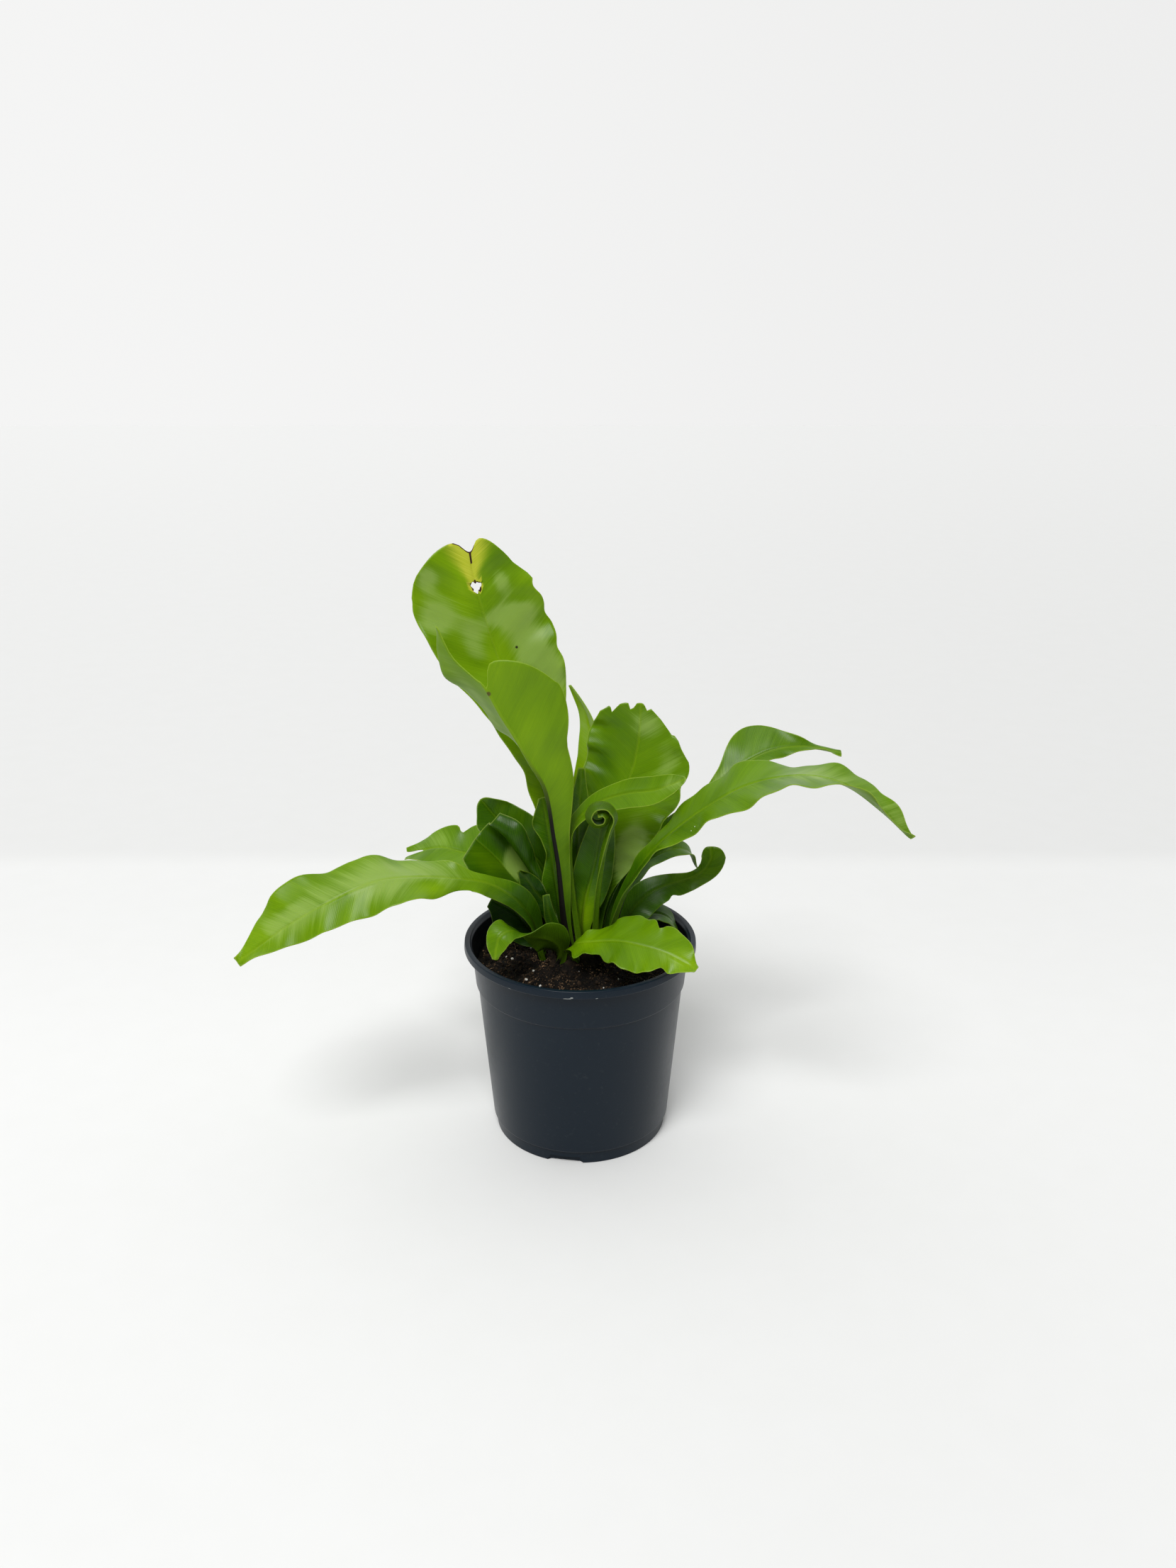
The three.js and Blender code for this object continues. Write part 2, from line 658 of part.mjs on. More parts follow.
function potGeometry() {
  const p = POT;
  const inside = p.rimRadius - p.lipWidth;
  const floor = p.floorRaise + p.floorThick;
  const ring = p.footRadius - p.footRing;
  const profile = [
    [0, 0],
    [p.padRadius, 0],
    [p.padRadius + 2, p.floorRaise],
    [ring, p.floorRaise],
    [ring + 1, 0],
    [p.footRadius, 0],
    [p.footRadius + 0.4, p.footHeight],
    [p.bodyRadius, p.footHeight + 0.6],
    [p.bodyTopRadius, p.collarBottom - 0.6],
    [p.collarRadius, p.collarBottom],
    [p.collarTopRadius, p.height - p.lipHeight],
    [p.rimRadius, p.height - p.lipHeight],
    [p.rimRadius, p.height - 0.7],
    [p.rimRadius - 0.7, p.height],
    [inside, p.height],
    [inside - 1, p.height - 2],
    [p.collarRadius - p.wall, p.collarBottom],
    [p.bodyTopRadius - p.wall, p.collarBottom - 2],
    [p.footRadius - p.wall, floor],
    [0, floor],
  ];
  let pot = solid(turned(profile, p.sides));
  for (let i = 0; i < NOTCH.count; i++) {
    const cut = new THREE.BoxGeometry(p.footRing * 4, NOTCH.width, NOTCH.height * 2);
    cut.translate(p.footRadius, 0, 0).rotateZ(radians(NOTCH.first + (360 / NOTCH.count) * i));
    pot = pot.subtract(solid(cut));
  }
  for (let i = 0; i < DRAIN.count; i++) {
    const hole = new THREE.CylinderGeometry(DRAIN.radius, DRAIN.radius, floor * 3, 14);
    hole.rotateX(Math.PI / 2).translate(DRAIN.circle, 0, 0).rotateZ(radians((360 / DRAIN.count) * i));
    pot = pot.subtract(solid(hole));
  }
  return geometryOf(pot);
}

// Height of the mix at a place: a low mound with lumps that fade out at the wall.
function soilHeight(x, y) {
  const r = Math.hypot(x, y);
  const edge = POT.bodyTopRadius;
  const rise = SOIL.mound * (1 - smoothStep(0.25 * edge, edge, r));
  const lumps = Math.sin(0.31 * x + 1.3) * Math.cos(0.27 * y - 0.6) + 0.6 * Math.sin(0.52 * x - 0.47 * y);
  return SOIL.edge + rise + SOIL.grain * lumps * (1 - smoothStep(0.8 * edge, edge, r));
}

function potInnerRadius(z) {
  const floor = POT.floorRaise + POT.floorThick;
  const share = (z - floor) / (POT.collarBottom - 2 - floor);
  if (share <= 1) return POT.footRadius - POT.wall + share * (POT.bodyTopRadius - POT.footRadius);
  return POT.collarRadius - POT.wall;
}

function soilGeometry() {
  const floor = POT.floorRaise + POT.floorThick + GAP;
  const rimRadius = potInnerRadius(SOIL.edge) - GAP;
  const shoulder = POT.collarBottom - 2;
  const lower = [
    [potInnerRadius(floor) - GAP, floor],
    [potInnerRadius(shoulder) - GAP, shoulder],
    [rimRadius, POT.collarBottom],
  ];
  const rings = [];
  for (const [r, z] of lower) rings.push((a) => [r * Math.cos(a), r * Math.sin(a), z]);
  for (let k = SOIL.rings; k > 0; k--) {
    const r = (rimRadius * k) / SOIL.rings;
    rings.push((a) => {
      const [x, y] = [r * Math.cos(a), r * Math.sin(a)];
      return [x, y, soilHeight(x, y)];
    });
  }
  const points = [[0, 0, floor]];
  for (const ring of rings) {
    for (let j = 0; j < SOIL.sides; j++) points.push(ring((2 * Math.PI * j) / SOIL.sides));
  }
  points.push([0, 0, soilHeight(0, 0)]);
  const id = (k, j) => 1 + k * SOIL.sides + (j % SOIL.sides);
  const faces = [];
  for (let j = 0; j < SOIL.sides; j++) {
    faces.push(0, id(0, j + 1), id(0, j));
    faces.push(points.length - 1, id(rings.length - 1, j), id(rings.length - 1, j + 1));
    for (let k = 0; k < rings.length - 1; k++) {
      faces.push(id(k, j), id(k, j + 1), id(k + 1, j + 1), id(k, j), id(k + 1, j + 1), id(k + 1, j));
    }
  }
  const geometry = new THREE.BufferGeometry().setFromPoints(points.map((p) => new THREE.Vector3(...p)));
  geometry.setIndex(faces);
  return geometryOf(withSockets(solid(geometry).subtract(solid(crownBlank(GAP)))));
}

function crownBlank(grow = 0) {
  const c = CROWN;
  const profile = [
    [0, c.bottom - grow],
    [c.radius * 0.6 + grow, c.bottom - grow],
    [c.radius + grow, c.shoulder - 6],
    [c.radius + grow, c.shoulder + grow],
    [c.radius * 0.8 + grow, c.top - 4 + grow],
    [c.radius * 0.45, c.top + grow],
    [0, c.top + grow],
  ];
  return turned(profile, c.sides).translate(c.x, c.y, 0);
}

function withSockets(body) {
  return FRONDS.reduce((left, frond) => left.subtract(solid(socketGeometry(frond))), body);
}

function crownGeometry() {
  return geometryOf(withSockets(solid(crownBlank())));
}

const plant = new THREE.Group();

function addPiece(name, geometry, color, roughness) {
  geometry.computeVertexNormals();
  const material = new THREE.MeshStandardMaterial({ color, roughness, metalness: 0 });
  const mesh = new THREE.Mesh(geometry, material);
  mesh.name = name;
  plant.add(mesh);
}

addPiece("pot", potGeometry(), 0x1d242c, 0.45);
addPiece("soil", soilGeometry(), 0x2b1d14, 0.95);
addPiece("crown", crownGeometry(), 0x20130c, 0.9);
for (const frond of FRONDS) addPiece(frond.name, frondGeometry(frond), 0x4f8a12, 0.4);

export default plant;
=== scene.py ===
"""A potted bird's nest fern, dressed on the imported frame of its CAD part.

The fronds are grown again from the same named values as the CAD solids, in millimetres, with many
more rows and columns, a rounded rim, a modelled midrib and low relief along the veins.
"""

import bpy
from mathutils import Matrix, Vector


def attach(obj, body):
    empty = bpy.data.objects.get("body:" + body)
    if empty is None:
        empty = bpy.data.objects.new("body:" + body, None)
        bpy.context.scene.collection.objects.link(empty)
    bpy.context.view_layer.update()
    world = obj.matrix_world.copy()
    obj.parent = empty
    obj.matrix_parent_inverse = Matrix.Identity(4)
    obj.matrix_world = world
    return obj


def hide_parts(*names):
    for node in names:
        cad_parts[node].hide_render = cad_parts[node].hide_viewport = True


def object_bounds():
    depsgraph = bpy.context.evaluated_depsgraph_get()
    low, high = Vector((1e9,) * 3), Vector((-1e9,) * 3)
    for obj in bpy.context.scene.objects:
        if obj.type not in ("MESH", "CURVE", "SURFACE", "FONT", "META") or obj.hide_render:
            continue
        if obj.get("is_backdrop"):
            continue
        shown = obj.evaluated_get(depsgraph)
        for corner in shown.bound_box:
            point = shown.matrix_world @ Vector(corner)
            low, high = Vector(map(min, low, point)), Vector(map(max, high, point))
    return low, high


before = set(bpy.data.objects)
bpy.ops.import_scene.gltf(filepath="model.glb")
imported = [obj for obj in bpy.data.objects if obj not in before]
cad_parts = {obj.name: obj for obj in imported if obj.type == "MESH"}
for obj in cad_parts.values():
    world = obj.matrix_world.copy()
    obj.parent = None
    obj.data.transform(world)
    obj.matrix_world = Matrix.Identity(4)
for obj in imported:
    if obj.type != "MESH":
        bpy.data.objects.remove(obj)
cad_box = [list(corner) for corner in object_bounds()]

import math

import bmesh
import bpy
import numpy as np
from mathutils import kdtree

MM = 0.001
ROWS_PER_MM = 0.62  # how finely a frond is cut along its length
OUTER_COLUMNS = 13  # strips from near the midrib to each edge
NEAR_MM = [0, 0.35, 0.8, 1.4, 2.3]  # columns beside the midrib, at these distances
THICK_MID, THICK_EDGE = 0.8, 0.5  # thickness of a blade, and at its very edge
STALK = 3.0  # thickness of a frond where it leaves the crown
BEND_STEPS = 12  # the bend of a half-blade is summed in this many steps
FLAT = [0, 0]  # the roll, curl or flare of a frond that doesn't name its own
VEIN_SLANT = 0.7  # how far a vein runs towards the tip for each step out from the midrib

# Each frond, from its socket in the crown to its tip. The lists run evenly from base to tip.
#   path     points on the midrib
#   heading  the way the frond leans out, in degrees from +X towards +Y; it sets which way it faces
#   half     half-width of the blade
#   roll     turn of the blade about its midrib, in degrees
#   fold     how far each half is lifted from flat at the midrib, in degrees
#   curl     how much further it bends on its way to the edge, in degrees
#   flare    how far its outer part bends back again, in degrees
#   waves    [number of waves, height, phase in turns]
#   end      how the blade ends, described at FULL_END
#   hole     a hole on the midrib, with its place along it, as a share of its length, and its radius
#   rim      bites out of the edge, each [place along, depth, width]; a lobe has a depth below 0
#   thick    thickness of the midrib towards the tip
#   left, right   what differs on one side
FRONDS = [
    {
        "name": "tall_back", "heading": 100, "waves": [6, 1.8, 0.1], "hole": {"at": 0.891, "radius": 2.8},
        "path": [
            [-7, 9, 110], [-12, 14, 165], [-20, 20, 206], [-29, 27, 240], [-42, 34, 274], [-53, 41, 303],
            [-61.5, 46, 333], [-65, 48, 357],
        ],
        "half": [2.4, 4, 7, 11, 18, 33, 37, 34, 26], "roll": [0, -6, -8, -4, 0],
        "fold": [35, 30, 20, 10, 6, 4], "curl": [0, 0, 0, 0, 6],
        "end": {"notch": 0.03, "width": 0.14, "shoulder": 0.12, "round": 3},
        "rim": [[0.93, 2, 0.018], [0.86, 2.5, 0.018], [0.79, 2, 0.018], [0.7, 2, 0.02]],
        "left": {
            "half": [2.4, 4, 6, 9, 14, 22, 34, 40, 40],
            "end": {"notch": 0.03, "width": 0.14, "shoulder": 0.1, "round": 2.4}, "rim": [[0.9, 2, 0.02]],
        },
    },
    {
        "name": "tall_front", "heading": 270, "waves": [5, 1.2, 0.3],
        "path": [
            [-4, -6, 110], [-9, -8, 139], [-12, -10, 172], [-15, -12, 195], [-20, -14, 226],
            [-28, -14, 241], [-36, -14, 256], [-44, -13, 269], [-51, -12, 282], [-60, -11, 296],
            [-69, -9, 310], [-75, -8, 321],
        ],
        "half": [2.4, 3, 5, 7, 10, 16, 26, 37, 41, 39, 30], "fold": [20, 15, 10, 5, 0, 0],
        "end": {"notch": 0.06, "width": 0.16, "short": 0.13, "shoulder": 0.14, "round": 2},
        "rim": [[0.74, 2, 0.03], [0.6, 1.5, 0.03]],
        "right": {
            "fold": [30, 60, 80, 88, 80, 66, 52, 46], "half": [2.4, 3, 5, 6, 8, 10, 14, 20, 26, 26, 10],
            "end": {"notch": 0.17, "width": 0.45}, "rim": [],
        },
    },
    {
        "name": "sliver_back", "heading": 60, "waves": [3, 0.8, 0],
        "path": [[1, 17, 110], [5, 30, 160], [8, 41, 205], [7, 46, 235], [3, 47, 253], [-6, 47, 269]],
        "half": [2.2, 4, 9, 14, 12, 8, 1.2], "roll": [0, 0, 10, 30], "fold": [30, 20, 15, 15],
    },
    {
        "name": "broad_center", "heading": 80, "waves": [7, 1.6, 0.2],
        "path": [
            [9, 5, 110], [11, 11, 150], [14, 16, 175], [19, 20, 192], [26, 24, 208], [32, 28, 225],
            [35, 31, 242], [36, 33, 262],
        ],
        "half": [2.4, 4, 8, 19, 26, 31, 34, 29, 16], "fold": [30, 20, 5, 5, 5, 0],
        "end": {"shoulder": 0.18, "round": 2.2, "ragged": 0.022},
        "rim": [[0.62, 2, 0.03], [0.74, 2.5, 0.025], [0.84, 2, 0.02]],
        "left": {
            "half": [2.4, 4, 7, 12, 20, 27, 29, 30, 22], "fold": [20, 10, 0, -5, 0, 0],
            "end": {"shoulder": 0.03, "ragged": 0.03}, "rim": [],
        },
    },
    {
        "name": "young_arching", "heading": 0, "waves": [3, 0.8, 0.4],
        "path": [
            [0, -3, 110], [-4, -2, 150], [-6, -2, 182], [-4, -2, 197], [3, -3, 207], [12, -4, 214],
            [27, -7, 220], [43, -12, 224], [60, -18, 233],
        ],
        "half": [2.2, 2.6, 3, 3.4, 5, 9, 10, 9.5, 5], "roll": [0, 0, -20, -40, -40],
        "fold": [30, 30, 15, 5], "end": {"shoulder": 0.05, "round": 2},
        "left": {"half": [2.2, 2.6, 3, 3.4, 4, 6, 8, 8.5, 5]},
    },
    {
        "name": "right_long", "heading": -15, "waves": [6, 1.8, 0.2],
        "path": [
            [14, -6, 110], [25, -12, 157], [40, -17, 186], [57, -22, 206], [88, -32, 232],
            [107, -36, 240], [126, -40, 243], [146, -44, 239], [166, -47, 225], [183, -48, 209],
        ],
        "half": [2.6, 4, 4, 4.5, 10, 14, 19, 22, 19, 13, 2.5], "roll": [0, -20, -25, -15, -12, -10, -10],
        "fold": [40, 30, 10, -10, -8, 15, 35, 35],
        "left": {
            "half": [2.6, 4, 5, 7, 11, 17, 20, 19, 17, 12, 2.5], "fold": [40, 30, 12, 8, 14, -12, 8, 30],
        },
    },
    {
        "name": "right_back", "heading": 22, "waves": [5, 1.8, 0.6],
        "path": [
            [8, 14, 110], [25, 30, 146], [47, 42, 171], [65, 45, 187], [82, 51, 202], [100, 56, 215],
            [118, 60, 223], [138, 63, 225], [163, 66, 220],
        ],
        "half": [2.4, 4, 5, 7, 10, 9, 8, 4, 2.5], "roll": [0, -20, -30, -30], "fold": [40, 25, 10, 10],
        "left": {"half": [2.4, 5, 7, 6, 4, 6, 22, 6, 2.5]},
    },
    {
        "name": "right_curled", "heading": -2, "waves": [4, 0.9, 0.1],
        "path": [
            [18, 0, 109], [26, 3, 130], [33, 6, 142], [42, 8, 150], [51, 10, 154], [60, 12, 156],
            [68, 14, 158], [75, 16, 162], [79, 18, 168], [79, 21, 175],
        ],
        "half": [2.4, 6, 9, 11, 11, 10, 9, 8, 7, 8.5, 9], "roll": [0, -20, -45, -55, -60, -68, -80],
        "fold": [35, 10, -5, 0, 0, 0], "end": {"notch": 0, "width": 0.2, "shoulder": 0.06},
        "rim": [[0.62, 2, 0.03]],
        "left": {
            "half": [2.4, 4, 6, 8, 9, 9, 7, 4.5, 3.5, 5, 7], "fold": [35, 20, 8, 0, 0, 0], "rim": [],
        },
    },
    {
        "name": "right_arch", "heading": 25, "waves": [3, 1, 0.5],
        "path": [
            [14, 9, 109], [20, 16, 132], [30, 23, 149], [40, 27, 162], [50, 28, 168], [59, 30, 170],
            [67, 35, 166], [72, 37, 155],
        ],
        "half": [2.2, 3, 5, 6, 8, 7, 6, 3], "roll": [0, -20, -20], "fold": [35, 20, 10],
    },
    {
        "name": "right_low", "heading": 22, "waves": [3, 0.8, 0.2],
        "path": [[18, 8, 107], [27, 11, 122], [37, 14, 131], [46, 16, 133], [54, 16, 130], [60, 15, 122]],
        "half": [2.2, 4, 6, 8, 7, 2.5], "roll": [0, -20, -20], "fold": [30, 15, 0],
        "left": {"half": [2.2, 4, 8, 10, 9, 3]},
    },
    {
        "name": "front_right", "heading": -35, "waves": [5, 1.8, 0.3],
        "path": [
            [1, -12, 108], [-4, -15, 121], [-4, -21, 130], [8, -29, 136], [22, -36, 140], [36, -42, 140],
            [50, -48, 138], [66, -56, 132],
        ],
        "half": [2.2, 2.6, 6, 12, 15, 17, 17, 11, 3], "roll": [0, -10, -22, -25, -25, -25],
        "fold": [20, 10, 0, 0, 0],
        "rim": [[0.33, -6, 0.035], [0.45, 4, 0.03], [0.62, -2, 0.05], [0.84, 3, 0.03]],
        "left": {
            "half": [2.2, 2.6, 5, 11, 18, 20, 18, 14, 3],
            "rim": [[0.5, 2, 0.025], [0.6, -2, 0.03], [0.73, 5, 0.025], [0.8, -2, 0.03]],
        },
    },
    {
        "name": "front_left", "heading": 215, "waves": [3, 1, 0.4],
        "path": [
            [-13, -12, 109], [-11, -15, 120], [-13, -19, 129], [-18, -23, 135], [-26, -27, 139],
            [-35, -31, 143], [-41, -35, 146], [-46, -38, 144], [-48, -40, 138], [-49, -42, 131],
        ],
        "half": [2.2, 3, 4, 8, 11, 8, 6, 10, 9, 6, 1.5],
        "roll": [0, -20, -50, -60, -60, -40, 0, 30, 30, 20], "fold": [20, 0, 0, 0, 0],
        "left": {"half": [2.2, 3, 4, 9, 13, 11, 6, 6, 8, 6, 1.5]},
    },
    {
        "name": "left_long", "heading": 197, "waves": [5, 2, 0.2],
        "path": [
            [-21, -4, 108], [-28, -11, 140], [-34, -14, 152], [-41, -18, 161], [-53, -22, 170],
            [-67, -27, 175], [-93, -35, 180], [-115, -41, 180], [-142, -48, 170], [-165, -52, 157],
            [-193, -57, 137],
        ],
        "half": [2.6, 5, 8.5, 8, 10, 20, 23, 21, 24, 16, 2.5],
        "roll": [12, 40, 68, 55, 30, 14, 20, 36, 40, 38, 35], "fold": [40, 20, 5, 0, -5, -10, -8, 0, 0],
        "rim": [[0.34, 3, 0.06]],
        "left": {
            "half": [2.6, 3.4, 5, 8, 12, 19, 20, 17, 14, 9, 2.5],
            "curl": [0, 0, -15, -25, -10, 0, 0, 0, 0, 0], "rim": [[0.4, 4.5, 0.07]],
        },
    },
    {
        "name": "left_back", "heading": 155, "waves": [4, 1.4, 0.1],
        "path": [
            [-12, 11, 109], [-22, 19, 134], [-34, 27, 149], [-46, 35, 157], [-60, 42, 160],
            [-74, 48, 160], [-87, 53, 161], [-98, 57, 158], [-111, 60, 153],
        ],
        "half": [2.2, 4, 6, 11, 17, 20, 17, 13, 5], "roll": [0, 20, 30, 30], "fold": [30, 15, 5],
        "end": {"notch": 0.09, "width": 0.25}, "rim": [[0.69, -2, 0.03], [0.745, 5, 0.018]],
    },
    {
        "name": "left_ruffled", "heading": 158, "waves": [3, 2, 0.3],
        "path": [
            [-5, 17, 109], [-13, 26, 136], [-25, 30, 161], [-36, 32, 172], [-45, 35, 181], [-52, 37, 188],
            [-57, 38, 194], [-61, 38, 199],
        ],
        "half": [2.2, 4, 7, 13, 20, 22, 18, 13, 10], "roll": [0, 20, 30, 30],
        "fold": [30, 30, 55, 55, 45], "end": {"shoulder": 0.1, "round": 2.4},
        "left": {"half": [2.2, 4, 6, 11, 14, 16, 17, 16, 12], "fold": [30, 10, 5]},
    },
    {
        "name": "left_cupped", "heading": 168, "waves": [2.5, 1.2, 0.1],
        "path": [
            [-14, 3, 110], [-21, 5, 128], [-28, 6, 143], [-35, 8, 154], [-42, 10, 162], [-49, 12, 170],
            [-56, 13, 177], [-63, 14, 183],
        ],
        "half": [2.2, 4, 7, 11, 19, 31, 40, 44, 36], "roll": [0, 10, 10], "fold": [30, 15, 10, 10, 10],
        "curl": [0, 80, 260, 300, 280], "flare": [0, 40, 230, 270, 240],
        "left": {
            "half": [2.2, 4, 6, 11, 23, 31, 34, 33, 26], "fold": [30, 20, 10, 5, 8], "curl": [0, 0, 0],
            "flare": [0, 0],
        },
    },
    {
        "name": "center_wavy", "heading": 110, "waves": [4, 1.4, 0.1],
        "path": [[-9, 2, 110], [-13, 4, 145], [-17, 6, 175], [-20, 8, 198], [-22, 10, 211]],
        "half": [2, 3, 4, 5, 5, 5, 4, 4, 2], "fold": [30, 15, 5],
        "left": {"half": [2, 4, 6, 8, 9, 4, 5, 9, 3]},
    },
    {
        "name": "left_shaded", "heading": 165, "waves": [3, 1, 0.2],
        "path": [
            [-19, 5, 107], [-26, 6, 119], [-33, 7, 129], [-39, 9, 136], [-47, 10, 141], [-54, 10, 145],
        ],
        "half": [2.2, 5, 9, 11, 9, 4], "roll": [0, 45, 60, 60], "fold": [30, 10, 0],
        "left": {"half": [2.2, 5, 11, 15, 14, 5]},
    },
    {
        "name": "small_dark", "heading": 105, "waves": [3, 1.6, 0.2],
        "path": [
            [-14, -4, 110], [-16, -3, 134], [-21, -2, 148], [-27, -3, 157], [-32, -3, 165],
            [-36, -4, 170],
        ],
        "half": [2, 3, 3.5, 4, 6, 1.5], "fold": [30, 15, 5], "left": {"half": [2, 3, 3.5, 7, 9, 1.5]},
    },
    {
        "name": "small_upright", "heading": 110, "waves": [2, 0.4, 0.2],
        "path": [[-8, -10, 110], [-13, -13, 130], [-18, -14, 146], [-20, -14, 159]],
        "half": [2, 3, 3.6, 2], "fold": [30, 20, 10],
    },
    {
        "name": "center_shaded", "heading": 90, "waves": [3, 0.8, 0.2],
        "path": [[3, 2, 110], [1, 3, 130], [3, 4, 148], [8, 5, 168], [12, 6, 190], [14, 7, 202]],
        "half": [2, 4, 7, 11, 12, 11, 9, 6], "fold": [30, 15, 5],
    },
    {
        "name": "center_back", "heading": 92, "waves": [3, 0.8, 0.2],
        "path": [[0, 8, 110], [-1, 10, 150], [-1, 12, 190], [0, 13, 214], [1, 14, 228]],
        "half": [2, 4, 7, 7, 2], "fold": [30, 15, 5],
    },
    {
        "name": "crozier", "heading": 5, "waves": [3, 0, 0], "thick": 2,
        "path": [
            [8, -8, 110], [9, -10, 135], [10, -13, 156], [12, -16, 178], [14, -18, 191], [17, -19, 202],
            [19.8, -19, 210.5], [15.4, -19, 217.3], [7.9, -19, 216.7], [4.9, -19, 210.5],
            [8.6, -19, 205.5], [14, -19, 206.3], [15.5, -19, 210.5], [13.1, -19, 213.3],
            [10.3, -19, 212.7],
        ],
        "half": [2, 2.4, 3, 3.6, 4.4, 5, 5, 4.5, 4], "roll": [60, 40, 20, 10, 0, 0, 0, 0, 0],
        "fold": [30, 20, 20, 0, 0, 0], "curl": [0, 0, 0, 40, 50],
    },
]

# How each frond looks.
#   tone    0 is the dark green of an old blade, 1 the yellow-green of a young one
#   brown   how far up the midrib its dark brown runs, in millimetres from the base
#   relief  height of the low waves that follow the veins
#   sheen   painted highlights, pale satin places, each [place along, distance to the right, length, width, strength]
#   shade   painted light and shade: lighter or darker places, listed the same way
LOOKS = {
    "tall_back": {
        "tone": 0.64, "brown": 90, "relief": 0.9,
        "painted_sheen": [
            [0.93, -27, 7, 7, 0.8], [0.85, -27, 11, 12, 1], [0.78, -11, 14, 8, 0.7],
            [0.89, 15, 9, 6, 0.8], [0.81, 14, 7, 16, 1], [0.73, 20, 18, 13, 1], [0.64, 27, 14, 8, 0.8],
        ],
        "shade": [[0.96, 16, 12, 8, -0.1], [0.89, -8, 12, 6, 0.1], [0.66, 4, 25, 12, 0.12]],
    },
    "tall_front": {
        "tone": 0.58, "brown": 155, "relief": 0.3, "painted_sheen": [[0.75, 16, 50, 10, 0.55]],
        "shade": [[0.35, -3, 40, 10, -0.12], [0.6, -8, 40, 10, 0.1], [0.9, -4, 30, 20, 0.06]],
    },
    "sliver_back": {"tone": 0.85, "brown": 50, "relief": 0.5, "painted_sheen": [[0.8, -4, 20, 6, 0.4]]},
    "broad_center": {
        "tone": 0.52, "brown": 50, "relief": 0.55,
        "painted_sheen": [
            [0.92, 4, 10, 12, 0.6], [0.8, 20, 14, 9, 0.5], [0.48, 16, 20, 9, 0.95],
            [0.38, 14, 14, 8, 0.7],
        ],
        "shade": [[0.72, -18, 30, 8, -0.14], [0.3, 0, 40, 12, -0.05], [0.45, 15, 24, 9, 0.15]],
    },
    "young_arching": {"tone": 0.52, "brown": 20, "relief": 0.3, "painted_sheen": [[0.95, 0, 14, 8, 0.5]]},
    "right_long": {
        "tone": 0.54, "brown": 80, "relief": 0.6,
        "painted_sheen": [[0.76, -2, 28, 16, 0.55], [0.56, 4, 22, 8, 0.3], [0.95, -4, 16, 8, 0.5]],
        "shade": [[0.2, 0, 60, 12, -0.2]],
    },
    "right_back": {"tone": 0.46, "brown": 50, "relief": 0.5, "painted_sheen": [[0.62, -3, 14, 5, 0.5]]},
    "right_curled": {"tone": 0.42, "brown": 40, "relief": 0.5},
    "right_arch": {"tone": 0.38, "brown": 40, "relief": 0.4},
    "right_low": {"tone": 0.42, "brown": 25, "relief": 0.4},
    "front_right": {
        "tone": 0.58, "brown": 12, "relief": 0.6, "painted_sheen": [[0.8, 2, 12, 9, 0.45]],
        "shade": [[0.95, 0, 14, 9, 0.2], [0.33, 0, 16, 14, 0.25]],
    },
    "front_left": {
        "tone": 0.56, "brown": 15, "relief": 0.3,
        "shade": [[0.45, 0, 18, 14, -0.2], [0.25, 0, 10, 14, -0.25], [0.2, 6, 20, 8, -0.2]],
    },
    "left_long": {
        "tone": 0.59, "brown": 50, "relief": 0.6,
        "painted_sheen": [
            [0.58, 2, 48, 20, 0.85], [0.86, 5, 22, 12, 0.6], [0.7, -6, 9, 6, -0.5],
            [0.83, 15, 9, 6, -0.5], [0.49, -9, 10, 7, -0.6], [0.94, 7, 6, 9, -0.5],
        ],
        "shade": [[0.9, 4, 30, 14, 0.12], [0.49, -9, 10, 6, 0.1], [0.2, 0, 30, 14, -0.2]],
    },
    "left_back": {"tone": 0.52, "brown": 40, "relief": 0.5, "painted_sheen": [[0.85, 4, 20, 12, 0.45]]},
    "left_ruffled": {"tone": 0.33, "brown": 40, "relief": 0.5},
    "left_cupped": {
        "tone": 0.25, "brown": 35, "relief": 0.3, "painted_sheen": [[0.68, 9, 10, 9, 1.5]],
        "shade": [[0.8, -10, 24, 14, 0.2], [0.8, 36, 30, 12, -0.1], [0.68, 9, 10, 9, 0.4]],
    },
    "center_wavy": {"tone": 0.34, "brown": 40, "relief": 0.5},
    "left_shaded": {"tone": 0.12, "brown": 30, "relief": 0.5},
    "small_dark": {"tone": 0.15, "brown": 25, "relief": 0.3},
    "small_upright": {"tone": 0.3, "brown": 12, "relief": 0.1},
    "center_shaded": {"tone": 0.32, "brown": 42, "relief": 0.3, "shade": [[0.3, 2, 18, 8, 0.6]]},
    "center_back": {"tone": 0.36, "brown": 30, "relief": 0.3},
    "crozier": {"tone": 0.42, "brown": 20, "relief": 0.0, "shade": [[0.85, 0, 30, 8, -0.32]]},
}
# Painted shade: each frond is darkened towards its foot, as the crown shades it.
FOOT_SHADE = 0.25  # how much darker a frond is near its foot

# Spots on the blades: place in millimetres, radius and colour.
MARKS = [
    ((-37.4, 41.0, 294.2), 0.8, (0.03, 0.03, 0.008)),
    ((-50.8, -12.9, 281.5), 1.3, (0.09, 0.08, 0.015)),
    ((64.8, -31.1, 209.2), 0.35, (0.60, 0.68, 0.45)),
    ((62.9, -30.8, 206.5), 0.3, (0.60, 0.68, 0.45)),
]

